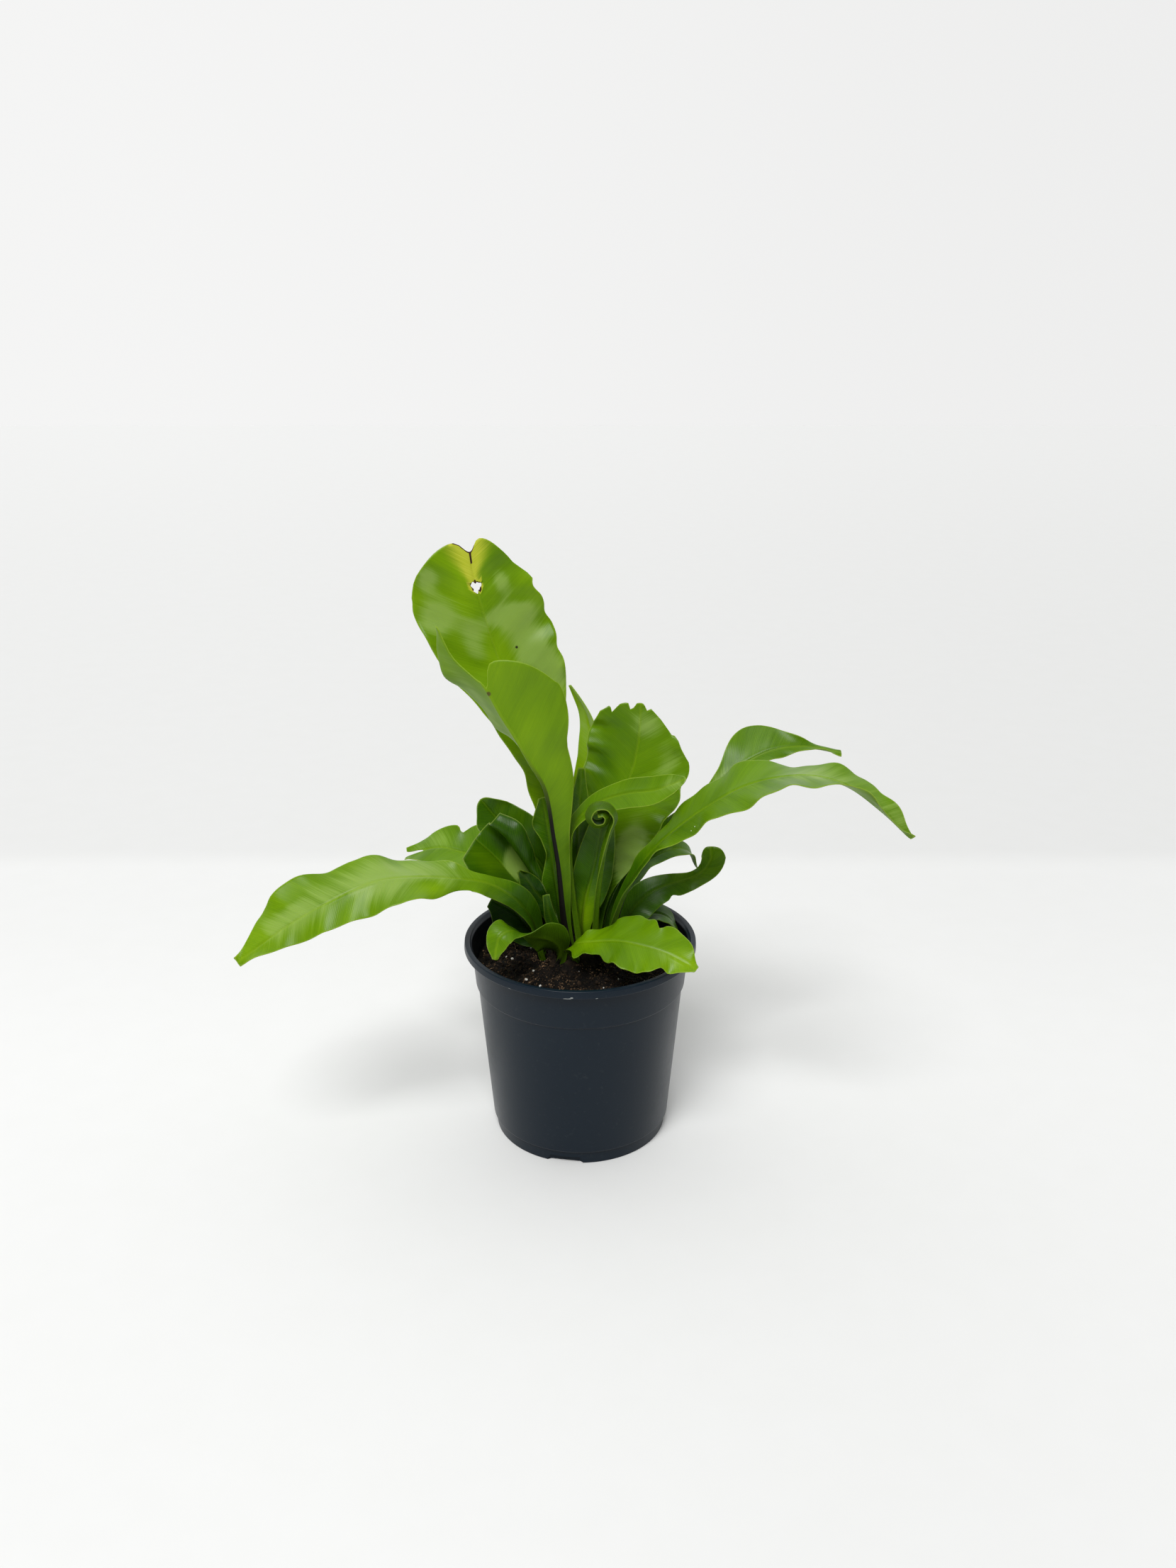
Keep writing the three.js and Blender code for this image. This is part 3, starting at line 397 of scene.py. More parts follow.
# The blade's colour by its shade, from the oldest green to the youngest.
GREENS = [
    (0.0, (0.006, 0.036, 0.0005)), (0.3, (0.036, 0.112, 0.0005)), (0.6, (0.13, 0.265, 0.001)),
    (1.0, (0.30, 0.50, 0.002)),
]
# Colours on the blade; the satin one is the colour of the painted highlights.
BLADE = {
    "vein": (0.26, 0.40, 0.002), "underside": (0.15, 0.26, 0.001), "painted_highlight": (0.30, 0.44, 0.095),
    "midrib": (0.27, 0.42, 0.012), "keel": (0.005, 0.004, 0.003), "rim": (0.40, 0.52, 0.06),
    "yellow": (0.40, 0.47, 0.008), "straw": (0.62, 0.63, 0.07), "dead": (0.05, 0.022, 0.010),
}
DECAYED = "tall_back"  # the frond with the yellow, split tip
BROWN_RIM = 1.32  # how far the brown goes round its hole, as a share of the hole's radius
SPLIT = 15  # length of the brown split below its tip, with its notch

# How a blade ends where it doesn't say so itself. The depths are shares of the frond's length.
#   short     how much sooner a side ends than the midrib's path
#   notch     depth of the notch at the midrib, and width how wide it is, as a share of the half-blade
#   shoulder  how much sooner the outer edge ends, and round how close to it that starts
#   ragged    depth of the teeth along the end
FULL_END = {"short": 0, "notch": 0, "width": 1, "shoulder": 0, "round": 3, "ragged": 0}


def spread(values, t):
    """A value read smoothly from a list that is spread evenly over 0 to 1."""
    a = np.asarray(values, float)
    x = np.clip(t, 0, 1) * (len(a) - 1)
    i = np.minimum(np.floor(x).astype(int), len(a) - 2)
    p, q, r, s = (a[np.clip(i + k, 0, len(a) - 1)] for k in (-1, 0, 1, 2))
    f = x - i
    return q + 0.5 * f * (r - p + f * (2 * p - 5 * q + 4 * r - s + f * (3 * (q - r) + s - p)))


def smooth(low, high, x):
    f = np.clip((x - low) / (high - low), 0, 1)
    return f * f * (3 - 2 * f)


def unit(v):
    return v / np.maximum(np.linalg.norm(v, axis=-1, keepdims=True), 1e-12)


class Midrib:
    """The centripetal curve through a frond's path, read by its share of the length."""

    def __init__(self, path):
        p = np.array(path, float)
        self.points = np.vstack([2 * p[0] - p[1], p, 2 * p[-1] - p[-2]])
        steps = np.linalg.norm(np.diff(self.at(np.linspace(0, 1, 201)), axis=0), axis=1)
        self.lengths = np.concatenate([[0], np.cumsum(steps)])
        self.length = self.lengths[-1]

    def at(self, t):
        x = np.clip(t, 0, 1) * (len(self.points) - 3)
        i = np.minimum(np.floor(x).astype(int), len(self.points) - 4)
        f = (x - i)[..., None]
        a, b, c, d = (self.points[i + k] for k in range(4))
        pairs = ((a, b), (b, c), (c, d))
        d0, d1, d2 = (np.sqrt(np.linalg.norm(q - p, axis=-1))[..., None] for p, q in pairs)
        leave = ((b - a) / d0 - (c - a) / (d0 + d1) + (c - b) / d1) * d1
        arrive = ((c - b) / d1 - (d - b) / (d1 + d2) + (d - c) / d2) * d1
        return b + f * (leave + f * (3 * (c - b) - 2 * leave - arrive + f * (2 * (b - c) + leave + arrive)))

    def place(self, share):
        t = np.interp(share * self.length, self.lengths, np.linspace(0, 1, 201))
        along = self.at(np.minimum(t + 1e-4, 1)) - self.at(np.maximum(t - 1e-4, 0))
        return self.at(t), unit(along)


def bend(fold, curl, flare, q):
    """Where a half-blade is at q and its slope there, summed in small steps from the midrib."""
    slope = lambda x: fold + curl * x - flare * smooth(0.5, 1, x)
    steps = [slope(q * (k + 0.5) / BEND_STEPS) for k in range(BEND_STEPS)]
    return (q * sum(map(np.cos, steps)) / BEND_STEPS, q * sum(map(np.sin, steps)) / BEND_STEPS, slope(q))


def half_blade(frond, rib, v, u):
    """Points of one side of a frond, how far along they are, and the blade's half-width there."""
    sign = -1 if u.min() < 0 else 1
    side = {**frond, **frond.get("left" if sign < 0 else "right", {})}
    end = {**FULL_END, **side.get("end", {})}
    q = np.abs(u)
    notch = end["notch"] * np.exp(-((u / end["width"]) ** 2))
    reach = 1 - end["short"] - notch - end["shoulder"] * q ** end["round"]
    reach = reach - end["ragged"] * np.sin(7 * q - 0.5 * np.sin(13 * q)) ** 2
    t = np.minimum(v * (1 + (reach - 1) * smooth(0.5, 1, v)), 1)
    point, along = rib.place(t)
    h = math.radians(frond["heading"])
    level = np.array([math.sin(h), -math.cos(h), 0.0])
    across = unit(level - along * (along @ level)[..., None])
    up = np.cross(across, along)
    roll = np.radians(spread(frond.get("roll", FLAT), t))[..., None]
    s = across * np.cos(roll) + up * np.sin(roll)
    n = up * np.cos(roll) - across * np.sin(roll)
    fold = np.radians(spread(side["fold"], t))
    curl, flare = (np.radians(spread(side.get(key, FLAT), t)) for key in ("curl", "flare"))
    half = spread(side["half"], t)
    for place, depth, width in side.get("rim", []):
        half = half - depth * q ** 2 * np.exp(-(((t - place) / width) ** 2))
    half = np.maximum(half, 0.5)
    out, lift, slope = bend(fold, curl, flare, q)
    waves, height, phase = frond["waves"]
    turn = 2 * np.pi * (waves * t + phase + (0.37 if sign < 0 else 0))
    ripple = height * q ** 2 * smooth(0.12, 0.4, t) * (np.sin(turn) + 0.3 * np.sin(2.3 * turn))
    point = point + s * (sign * (half * out - ripple * np.sin(slope)))[..., None]
    point = point + n * (half * lift + ripple * np.cos(slope))[..., None]
    return point, t * rib.length, half


def vein_relief(along, across, half, seed):
    """Low waves that run out along the veins, fading at the midrib and at the stalk."""
    side = np.where(across < 0, 1.7, 0.0) + seed
    phase = along - VEIN_SLANT * np.abs(across)
    broad = np.sin(phase / 3.9 + side + 0.8 * np.sin(phase / 14 + side))
    narrow = np.sin(phase / 1.5 + 2 * side) * (0.5 + 0.5 * np.sin(phase / 9 + side))
    inside = smooth(0.0, 9.0, np.abs(across)) * smooth(5, 12, half)
    return inside * (0.55 * broad + 0.16 * narrow)


def places(spots, leaf, length):
    """The sum of soft round spots, each [place along, distance to the right, length, width, strength]."""
    total = np.zeros(len(leaf))
    for at, right, long, wide, strength in spots:
        away = ((leaf[:, 0] - at * length) / long) ** 2 + ((leaf[:, 1] - right) / wide) ** 2
        total += strength * np.exp(-away)
    return total


def decay(frond, leaf, length):
    """0 for sound green, about 0.6 for the yellow fan above the hole, 1 for what is brown and dead."""
    along, across, edge = leaf.T
    start = frond["hole"]["at"] * length
    wide = 3 + 10 * smooth(start, length, along)
    yellow = 0.68 * np.exp(-(((across + 1) / wide) ** 2)) * smooth(start - 9, start + 5, along)
    split = (np.abs(across) < 0.6) & (along > length - SPLIT)
    burnt = (edge < 1.2) & (across > -11) & (across < 3) & (along > length - SPLIT)
    return np.maximum(yellow, np.where(split | burnt, 1.0, 0.0))


def columns_of(half):
    """Where the columns of a half-blade stand, from 0 at the midrib to 1 at its edge."""
    near = np.minimum(np.array(NEAR_MM) / half[:, None], 0.09 * np.arange(len(NEAR_MM)))
    steps = 1 - (1 - np.arange(1, OUTER_COLUMNS + 1) / OUTER_COLUMNS) ** 1.15
    return np.concatenate([near, near[:, -1:] + (1 - near[:, -1:]) * steps], axis=1)


def frond_grid(frond, rib, v):
    """The upper face from its left edge to its right one, with each point's place on the blade."""
    sides = []
    for sign, name in ((-1, "left"), (1, "right")):
        widths = {**frond, **frond.get(name, {})}["half"]
        q = columns_of(np.maximum(spread(widths, v), 0.5))
        blade = half_blade(frond, rib, np.broadcast_to(v[:, None], q.shape), sign * np.maximum(q, 1e-6))
        sides.append((*blade, q, np.full(q.shape, sign)))
    top, along, half, q, sign = (np.concatenate([a[:, :0:-1], b], axis=1) for a, b in zip(*sides))
    return top, along, half, q, q * half * sign


def thickness(frond, share, half, across, edge):
    """How thick a frond is: thin at its edge, full inside it, with a keel under the midrib."""
    keel = np.maximum(0.9 + 0.9 * (1 - share), frond.get("thick", 0))
    keel = np.maximum(STALK * (1 - 1.6 * share), keel)
    rib_width = np.minimum(1.1 + 0.9 * (1 - share), 0.5 * half + 0.6)
    thick = THICK_EDGE + (THICK_MID - THICK_EDGE) * smooth(0, 3, edge)
    thick = thick + (keel - THICK_MID) * np.exp(-((across / rib_width) ** 2))
    foot = np.exp(-((across / (2.4 * rib_width)) ** 2))
    return thick + (keel - THICK_MID) * 0.4 * smooth(0.25, 0, share) * foot


def loop_faces(rows, size, columns):
    """Faces between closed loops, and the strips that close the first loop and the last one."""
    ring = np.arange(size)
    faces = []
    for i in range(rows):
        a, b = i * size + ring, i * size + np.roll(ring, -1)
        faces.append(np.stack([a, b, b + size, a + size], axis=1))
    faces = np.concatenate(faces).tolist()
    last, over = rows * size, (rows + 1) * size
    under = last + size - 2 - np.arange(columns)
    for j in range(columns - 1):
        faces.append([last + j, last + j + 1, over + j + 1, over + j])
        faces.append([int(under[j + 1]), int(under[j]), over + j, over + j + 1])
        faces.append([j + 1, j, size - 2 - j, size - 3 - j])
    faces.append([last + size - 1, last, over])
    faces.append([int(under[0]), last + size - 1, over])
    faces.append([last + columns - 1, last + columns, over + columns - 1])
    faces.append([last + columns, int(under[-1]), over + columns - 1])
    faces.append([0, size - 1, size - 2])
    faces.append([columns, columns - 1, columns + 1])
    return faces


def frond_mesh(frond):
    """The fine mesh of a frond: rows of closed loops, over the upper face and back under the lower."""
    look = LOOKS[frond["name"]]
    seed = 0.37 * len(frond["name"]) + frond["heading"]
    rib = Midrib(frond["path"])
    rows = max(40, int(rib.length * ROWS_PER_MM))
    v = np.linspace(0, 1, rows + 1)
    top, along, half, q, across = frond_grid(frond, rib, v)
    edge = np.minimum((1 - q) * half, (along[-1:] - along) + 0.02)
    normal = unit(np.cross(np.gradient(top, axis=1), np.gradient(top, axis=0)))
    top = top + normal * (look["relief"] * vein_relief(along, across, half, seed))[..., None]
    share = np.broadcast_to(v[:, None], q.shape)
    bottom = top - normal * thickness(frond, share, half, across, edge)[..., None]
    groove = 0.3 * np.exp(-((across / 0.7) ** 2)) - 0.18 * np.exp(-(((np.abs(across) - 1.5) / 0.7) ** 2))
    top = top - normal * (groove * smooth(4, 9, half))[..., None]
    outward = lambda j, i: unit(top[:, j] - top[:, i])
    rims = [(top[:, j] + bottom[:, j]) / 2 + 0.22 * outward(j, i) for j, i in ((0, 1), (-1, -2))]
    loops = np.concatenate([top, rims[1][:, None], bottom[:, ::-1], rims[0][:, None]], axis=1)
    columns = top.shape[1]
    tip = (top[-1] + bottom[-1]) / 2 + 0.2 * unit(top[-1] - top[-2])
    points = np.concatenate([loops.reshape(-1, 3), tip])
    faces = loop_faces(rows, loops.shape[1], columns)
    around = lambda a: np.concatenate([a, a[:, -1:], a[:, ::-1], a[:, :1]], axis=1)
    fill = lambda a: np.concatenate([around(a).ravel(), a[-1]])
    flat = np.zeros_like(across)
    turned = np.concatenate([flat, flat[:, :1] + 0.5, flat + 1, flat[:, :1] + 0.5], axis=1).ravel()
    under_mask = np.concatenate([turned, np.full(columns, 0.5)])
    leaf = np.stack([fill(along), fill(across), fill(edge)], axis=1)
    brown = 1 - smooth(0.6 * look["brown"], look["brown"], leaf[:, 0])
    patch = decay(frond, leaf, rib.length) if frond["name"] == DECAYED else np.zeros(len(points))
    # Painted light and shade: the shade places and FOOT_SHADE lighten or darken the tone.
    tone = look["tone"] + places(look.get("shade", []), leaf, rib.length)
    tone = tone - FOOT_SHADE * smooth(90, 15, leaf[:, 0])
    mask = np.stack([under_mask, brown, patch], axis=1)
    # Painted highlights: the pale satin places from LOOKS, carried in the tint.
    painted_sheen = places(look.get("painted_sheen", []), leaf, rib.length)
    tint = np.stack([tone, np.full(len(points), seed % 10), painted_sheen], axis=1)
    return points, faces, {"leaf": leaf, "mask": mask, "tint": tint}


def mesh_object(name, points, faces, attributes=None, smooth_faces=True):
    mesh = bpy.data.meshes.new(name)
    mesh.from_pydata((np.asarray(points) * MM).tolist(), [], faces)
    for key, values in (attributes or {}).items():
        mesh.attributes.new(key, "FLOAT_VECTOR", "POINT").data.foreach_set("vector", np.ravel(values))
    mesh.polygons.foreach_set("use_smooth", [smooth_faces] * len(mesh.polygons))
    mesh.validate()
    mesh.update()
    piece = bpy.data.objects.new(name, mesh)
    bpy.context.scene.collection.objects.link(piece)
    return piece


def dress(piece, material, slot, *nodes):
    """The piece takes this material, rides on the one body and hides these nodes; the slot is not used."""
    piece.data.materials.append(material)
    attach(piece, "root")
    if nodes:
        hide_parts(*nodes)


class Look:
    """The nodes of a material or world. Each call adds a node and returns one of its outputs."""

    def __init__(self, owner):
        self.owner = owner
        owner.use_nodes = True
        self.tree = owner.node_tree
        self.tree.nodes.clear()

    def node(self, kind, inputs=None, output=0, **settings):
        made = self.tree.nodes.new("ShaderNode" + kind)
        for key, value in settings.items():
            setattr(made, key, value)
        for key, value in (inputs or {}).items():
            if isinstance(value, bpy.types.NodeSocket):
                self.tree.links.new(value, made.inputs[key])
            else:
                made.inputs[key].default_value = value
        return made.outputs[output] if made.outputs else made

    def math(self, operation, a, b=0.0, c=0.0):
        return self.node("Math", {0: a, 1: b, 2: c}, operation=operation)

    def plus(self, a, b):
        return self.math("ADD", a, b)

    def times(self, a, b):
        return self.math("MULTIPLY", a, b)

    def swing(self, noise, strength):
        """A noise of 0 to 1 as a change to either side of 0."""
        return self.times(self.math("SUBTRACT", noise, 0.5), strength)

    def mix(self, factor, a, b):
        full = lambda c: c if isinstance(c, bpy.types.NodeSocket) else (*c, 1)
        return self.node("Mix", {0: factor, 6: full(a), 7: full(b)}, 2, data_type="RGBA")

    def step(self, value, low, high, to_low=0.0, to_high=1.0):
        return self.node("MapRange", {0: value, 1: low, 2: high, 3: to_low, 4: to_high},
                         interpolation_type="SMOOTHSTEP")

    def parts(self, attribute):
        vector = self.node("Attribute", output="Vector", attribute_name=attribute)
        return [self.node("SeparateXYZ", {0: vector}, k) for k in range(3)]

    def noise(self, vector, scale, detail=3.0, rough=0.5):
        inputs = {"Vector": vector, "Scale": scale, "Detail": detail, "Roughness": rough}
        return self.node("TexNoise", inputs)

    def ramp(self, value, stops):
        """The colour at a value, between stops of place and colour."""
        made = self.tree.nodes.new("ShaderNodeValToRGB")
        self.tree.links.new(value, made.inputs[0])
        while len(made.color_ramp.elements) < len(stops):
            made.color_ramp.elements.new(0.5)
        for element, (at, color) in zip(made.color_ramp.elements, stops):
            element.position, element.color = at, (*color, 1)
        return made.outputs[0]

    def bump(self, height, strength, distance):
        return self.node("Bump", {"Strength": strength, "Distance": distance, "Height": height})

    def place(self):
        return self.node("TexCoord", output="Object")

    def finish(self, color, roughness, bump=None, **shader):
        inputs = {"Base Color": color, "Roughness": roughness}
        inputs.update({key.replace("_", " "): value for key, value in shader.items()})
        if bump is not None:
            inputs["Normal"] = bump
        surface = self.node("BsdfPrincipled", inputs)
        self.node("OutputMaterial", {"Surface": surface})
        return self.owner


def frond_material():
    look = Look(bpy.data.materials.new("frond_blade"))
    along, across, edge = look.parts("leaf")
    under, brown, patch = look.parts("mask")
    tone, seed, painted_sheen = look.parts("tint")
    off = look.math("ABSOLUTE", across)
    side = look.times(look.math("SIGN", across), 7.0)
    phase = look.math("SUBTRACT", along, look.times(off, VEIN_SLANT))
    shift = look.plus(side, look.times(seed, 31.0))

    def streaks(fine, slow):
        """Noise drawn out along the veins."""
        vector = look.node("CombineXYZ", {
            0: look.times(phase, fine), 1: look.times(off, slow), 2: shift})
        return look.noise(vector, 1.0, 2.0)

    hair, band, cloud = streaks(1.5, 0.05), streaks(0.16, 0.012), streaks(0.045, 0.03)
    vein = look.math("SINE", look.plus(look.times(phase, 5.2), look.times(hair, 3.0)))

    # The tone holds the painted light and shade of LOOKS and FOOT_SHADE.
    shade = look.plus(tone, look.swing(band, 0.15))
    shade = look.plus(shade, look.swing(hair, 0.16))
    shade = look.plus(shade, look.swing(cloud, 0.3))
    color = look.ramp(shade, GREENS)
    color = look.mix(look.times(look.step(vein, 0.2, 1.0), 0.07), color, BLADE["vein"])
    color = look.mix(look.times(under, 0.22), color, BLADE["underside"])
    # Painted highlight: pale satin colour laid where the painted sheen places and the streaks reach.
    streaky = look.plus(look.swing(band, 0.65), look.swing(hair, 0.35))
    painted_highlight = look.times(look.step(look.plus(painted_sheen, streaky), 0.25, 0.75), 0.64)
    color = look.mix(painted_highlight, color, BLADE["painted_highlight"])
    pale = look.mix(0.5, color, BLADE["midrib"])
    rib = look.times(look.step(off, 1.1, 0.4), look.step(tone, 0.2, 0.55, 0.12, 0.42))
    color = look.mix(rib, color, pale)
    dark = look.times(look.step(off, 1.0, 0.6), brown)
    dark = look.times(dark, look.plus(0.45, look.times(under, 0.55)))
    color = look.mix(dark, color, BLADE["keel"])
    pale = look.mix(0.5, color, BLADE["rim"])
    rim = look.times(look.step(edge, 0.5, 0.15), look.step(along, 20, 110, 0.1, 0.65))
    color = look.mix(rim, color, pale)
    yellow = look.step(look.plus(patch, look.times(streaky, patch)), 0.08, 0.6)
    color = look.mix(yellow, color, look.mix(hair, BLADE["yellow"], BLADE["straw"]))
    color = look.mix(look.step(look.plus(patch, look.times(hair, 0.2)), 0.92, 1.0),
                     color, BLADE["dead"])
    for spot, radius, paint in MARKS:
        ends = {0: look.place(), 1: [c * MM for c in spot]}
        away = look.node("VectorMath", ends, "Value", operation="DISTANCE")
        color = look.mix(look.step(away, radius * 1.3 * MM, radius * 0.7 * MM), color, paint)

    rough = look.plus(0.33, look.times(under, 0.14))
    rough = look.plus(rough, look.swing(hair, 0.16))
    rough = look.plus(rough, look.times(brown, 0.1))
    height = look.plus(look.times(vein, 0.22), look.times(hair, 0.7))
    return look.finish(color, rough, look.bump(height, 0.4, 0.00012), Subsurface_Weight=0.15,
                       Subsurface_Radius=(0.7, 1.0, 0.15), Subsurface_Scale=0.0012,
                       Specular_IOR_Level=0.18)


def pierce(leaf, frond, attributes):
    """Tears a ragged hole through a frond on its midrib and browns its rim."""
    at, radius = frond["hole"]["at"], frond["hole"]["radius"]
    middle, along = Midrib(frond["path"]).place(np.array(at))
    heading = math.radians(frond["heading"])
    side = unit(np.array([math.sin(heading), -math.cos(heading), 0.0]))
    side = unit(side - along * (along @ side))
    up = np.cross(side, along)
    turn = np.linspace(0, 2 * np.pi, 17)[:-1]
    reach = radius * (1 + 0.28 * np.sin(3 * turn + 0.6) + 0.16 * np.sin(7 * turn))
    ring = middle + np.outer(reach * np.cos(turn), side) + np.outer(1.1 * reach * np.sin(turn), along)
    tree = kdtree.KDTree(len(leaf.data.vertices))
    for vertex in leaf.data.vertices:
        tree.insert(vertex.co, vertex.index)
    tree.balance()
    cut(leaf, [prism("hole", ring - 8 * up, ring + 8 * up)])
    nearest = [tree.find(vertex.co)[1] for vertex in leaf.data.vertices]
    away = np.array([vertex.co[:] for vertex in leaf.data.vertices]) / MM - middle
    rim = np.linalg.norm(away - np.outer(away @ up, up), axis=1) < BROWN_RIM * radius
    for key, values in attributes.items():
        kept = np.asarray(values)[nearest]
        if key == "mask":
            kept[rim, 2] = 1
        if key in leaf.data.attributes:
            leaf.data.attributes.remove(leaf.data.attributes[key])
        leaf.data.attributes.new(key, "FLOAT_VECTOR", "POINT").data.foreach_set("vector", kept.ravel())


def grow_fronds():
    material = frond_material()
    for frond in FRONDS:
        points, faces, attributes = frond_mesh(frond)
        leaf = mesh_object("leaf_" + frond["name"], points, faces, attributes)
        if "hole" in frond:
            pierce(leaf, frond, attributes)
        dress(leaf, material, "frond", "frond_" + frond["name"])


# The pot and its mix, with the same sizes as the solids.
POT = {
    "height": 125, "rim": 70, "lip_width": 3.8, "lip_height": 4.6, "collar_top": 65.4, "collar": 63.4,
    "collar_bottom": 98, "body_top": 62.2, "body": 54.4, "foot_height": 8, "foot": 52.4, "wall": 1.5,
    "floor_raise": 3.2, "floor_thick": 1.6, "pad": 14, "foot_ring": 4.5, "sides": 192,
}
WALL_SLOPE = 0.112  # how far the collar's wall leans out for each step up
# Scuffs on the lip, each by its bearing in degrees, height, half-length and half-height in metres.
SCUFFS = [
    (264.3, 0.1206, 0.0025, 0.0003), (235.4, 0.1205, 0.0010, 0.0003),
    (266.4, 0.1213, 0.0008, 0.0003), (277.9, 0.1207, 0.0007, 0.0002),
]
# The plastic's colours; the inside one is painted shade for the inner face of the collar.
PLASTIC = {
    "dark": (0.0018, 0.0080, 0.0165), "light": (0.0045, 0.0120, 0.0210), "dust": (0.035, 0.042, 0.046),
    "speck": (0.12, 0.13, 0.13), "inside": (0.0012, 0.0014, 0.0016), "scuff": (0.42, 0.44, 0.42),
}
NOTCH = {"count": 3, "first": 260, "width": 19, "height": 4.2, "slot": 0.9}
DRAIN = {"count": 8, "circle": 32, "radius": 4.5}
CREASE = 35
SOIL = {"edge": 108, "mound": 6, "grain": 1.1, "rings": 84, "sides": 240}
CROWN = {"x": -2, "y": 0, "bottom": 92, "top": 119, "radius": 23, "shoulder": 111}
MIX_BEDS = 0.8  # the fine mix rises this far up the pot's wall
MIX_REACH = 61.5  # grains lie this far out
# The pieces of perlite that show most, each with its place from above and its radius.
PERLITE = [(-41.1, -2.4, 1.0), (-31.6, -29.4, 0.8), (-23.2, -36.3, 0.9), (-20.6, -12.5, 0.7)]
# Loose roots on the mix, each with where it starts, the way it runs in degrees, and its length.
ROOTS = [
    (-31, -27, 200, 15), (-36, -36, 300, 10), (10, -42, 250, 14), (24, -40, 330, 16), (2, -50, 190, 12),
    (-15, -47, 160, 14), (30, 30, 40, 14), (-40, 12, 140, 12), (42, -18, 300, 13), (-52, -12, 260, 9),
    (5, 46, 80, 12), (38, -30, 10, 11),
]
# What lies in the pot: its dark and its light colour, and how far its noise takes it between them.
EARTH = {
    "mix_dark": ((0.0020, 0.0018, 0.0014), (0.017, 0.012, 0.008), 1.0),
    "mix_crumb": ((0.0030, 0.0024, 0.0018), (0.27, 0.165, 0.090), 0.4),
    "perlite_white": ((0.30, 0.29, 0.25), (0.62, 0.61, 0.56), 0.6),
    "crown_bark": ((0.0045, 0.0035, 0.0025), (0.040, 0.025, 0.014), 1.0),
    "root_hair": ((0.05, 0.032, 0.018), (0.21, 0.14, 0.085), 1.0),
}
DRY_DUST = (0.13, 0.085, 0.05)


def rounded(profile, radius, steps=4):
    """A profile with its corners turned in small arcs."""
    points = [np.array(p, float) for p in profile]
    made = [points[0]]
    for a, b, c in zip(points, points[1:], points[2:]):
        before, after = np.linalg.norm(a - b), np.linalg.norm(c - b)
        r = min(radius, 0.45 * before, 0.45 * after)
        p, q = b + (a - b) / before * r, b + (c - b) / after * r
        made += [(1 - t) ** 2 * p + 2 * t * (1 - t) * b + t * t * q for t in np.linspace(0, 1, steps + 1)]
    return np.array(made + [points[-1]])


def skin(rings, bottom, top):
    """A closed body over rings round the axis, from one point below them to one above."""
    sides = len(rings[0])
    points = np.concatenate([[[0, 0, bottom]], *rings, [[0, 0, top]]])
    j, k = np.arange(sides), np.roll(np.arange(sides), -1)
    faces = []
    for ring in range(len(rings) - 1):
        low, high = 1 + ring * sides, 1 + (ring + 1) * sides
        faces += np.stack([low + j, low + k, high + k, high + j], axis=1).tolist()
    last, end = 1 + (len(rings) - 1) * sides, len(points) - 1
    faces += [[0, 1 + int(q), 1 + int(p)] for p, q in zip(j, k)]
    faces += [[end, last + int(p), last + int(q)] for p, q in zip(j, k)]
    return points, faces


def lathe(profile, sides):
    """A closed body of revolution from [radius, height] points that start and end on the axis."""
    a = 2 * np.pi * np.arange(sides) / sides
    rings = [np.stack([r * np.cos(a), r * np.sin(a), np.full(sides, z)], axis=1) for r, z in profile[1:-1]]
    return skin(rings, profile[0][1], profile[-1][1])


def cut(piece, cutters):
    """Takes the cutters out of a piece and removes them."""
    for cutter in cutters:
        change = piece.modifiers.new("cut", "BOOLEAN")
        change.operation, change.object, change.solver = "DIFFERENCE", cutter, "EXACT"
    shown = piece.evaluated_get(bpy.context.evaluated_depsgraph_get())
    mesh = bpy.data.meshes.new_from_object(shown)
    piece.modifiers.clear()
    piece.data = mesh
    for cutter in cutters:
        bpy.data.objects.remove(cutter)


def prism(name, low, high):
    """A cutter between two outlines with the same number of corners."""
    n = len(low)
    faces = [list(range(n))[::-1], [n + i for i in range(n)]]
    faces += [[i, (i + 1) % n, n + (i + 1) % n, n + i] for i in range(n)]
    return mesh_object(name, np.concatenate([low, high]), faces, smooth_faces=False)


def sharpen(piece):
    """Smooths a piece's faces, with a crease where two of them turn by more than CREASE."""
    piece.data.polygons.foreach_set("use_smooth", [True] * len(piece.data.polygons))
    piece.data.set_sharp_from_angle(angle=math.radians(CREASE))


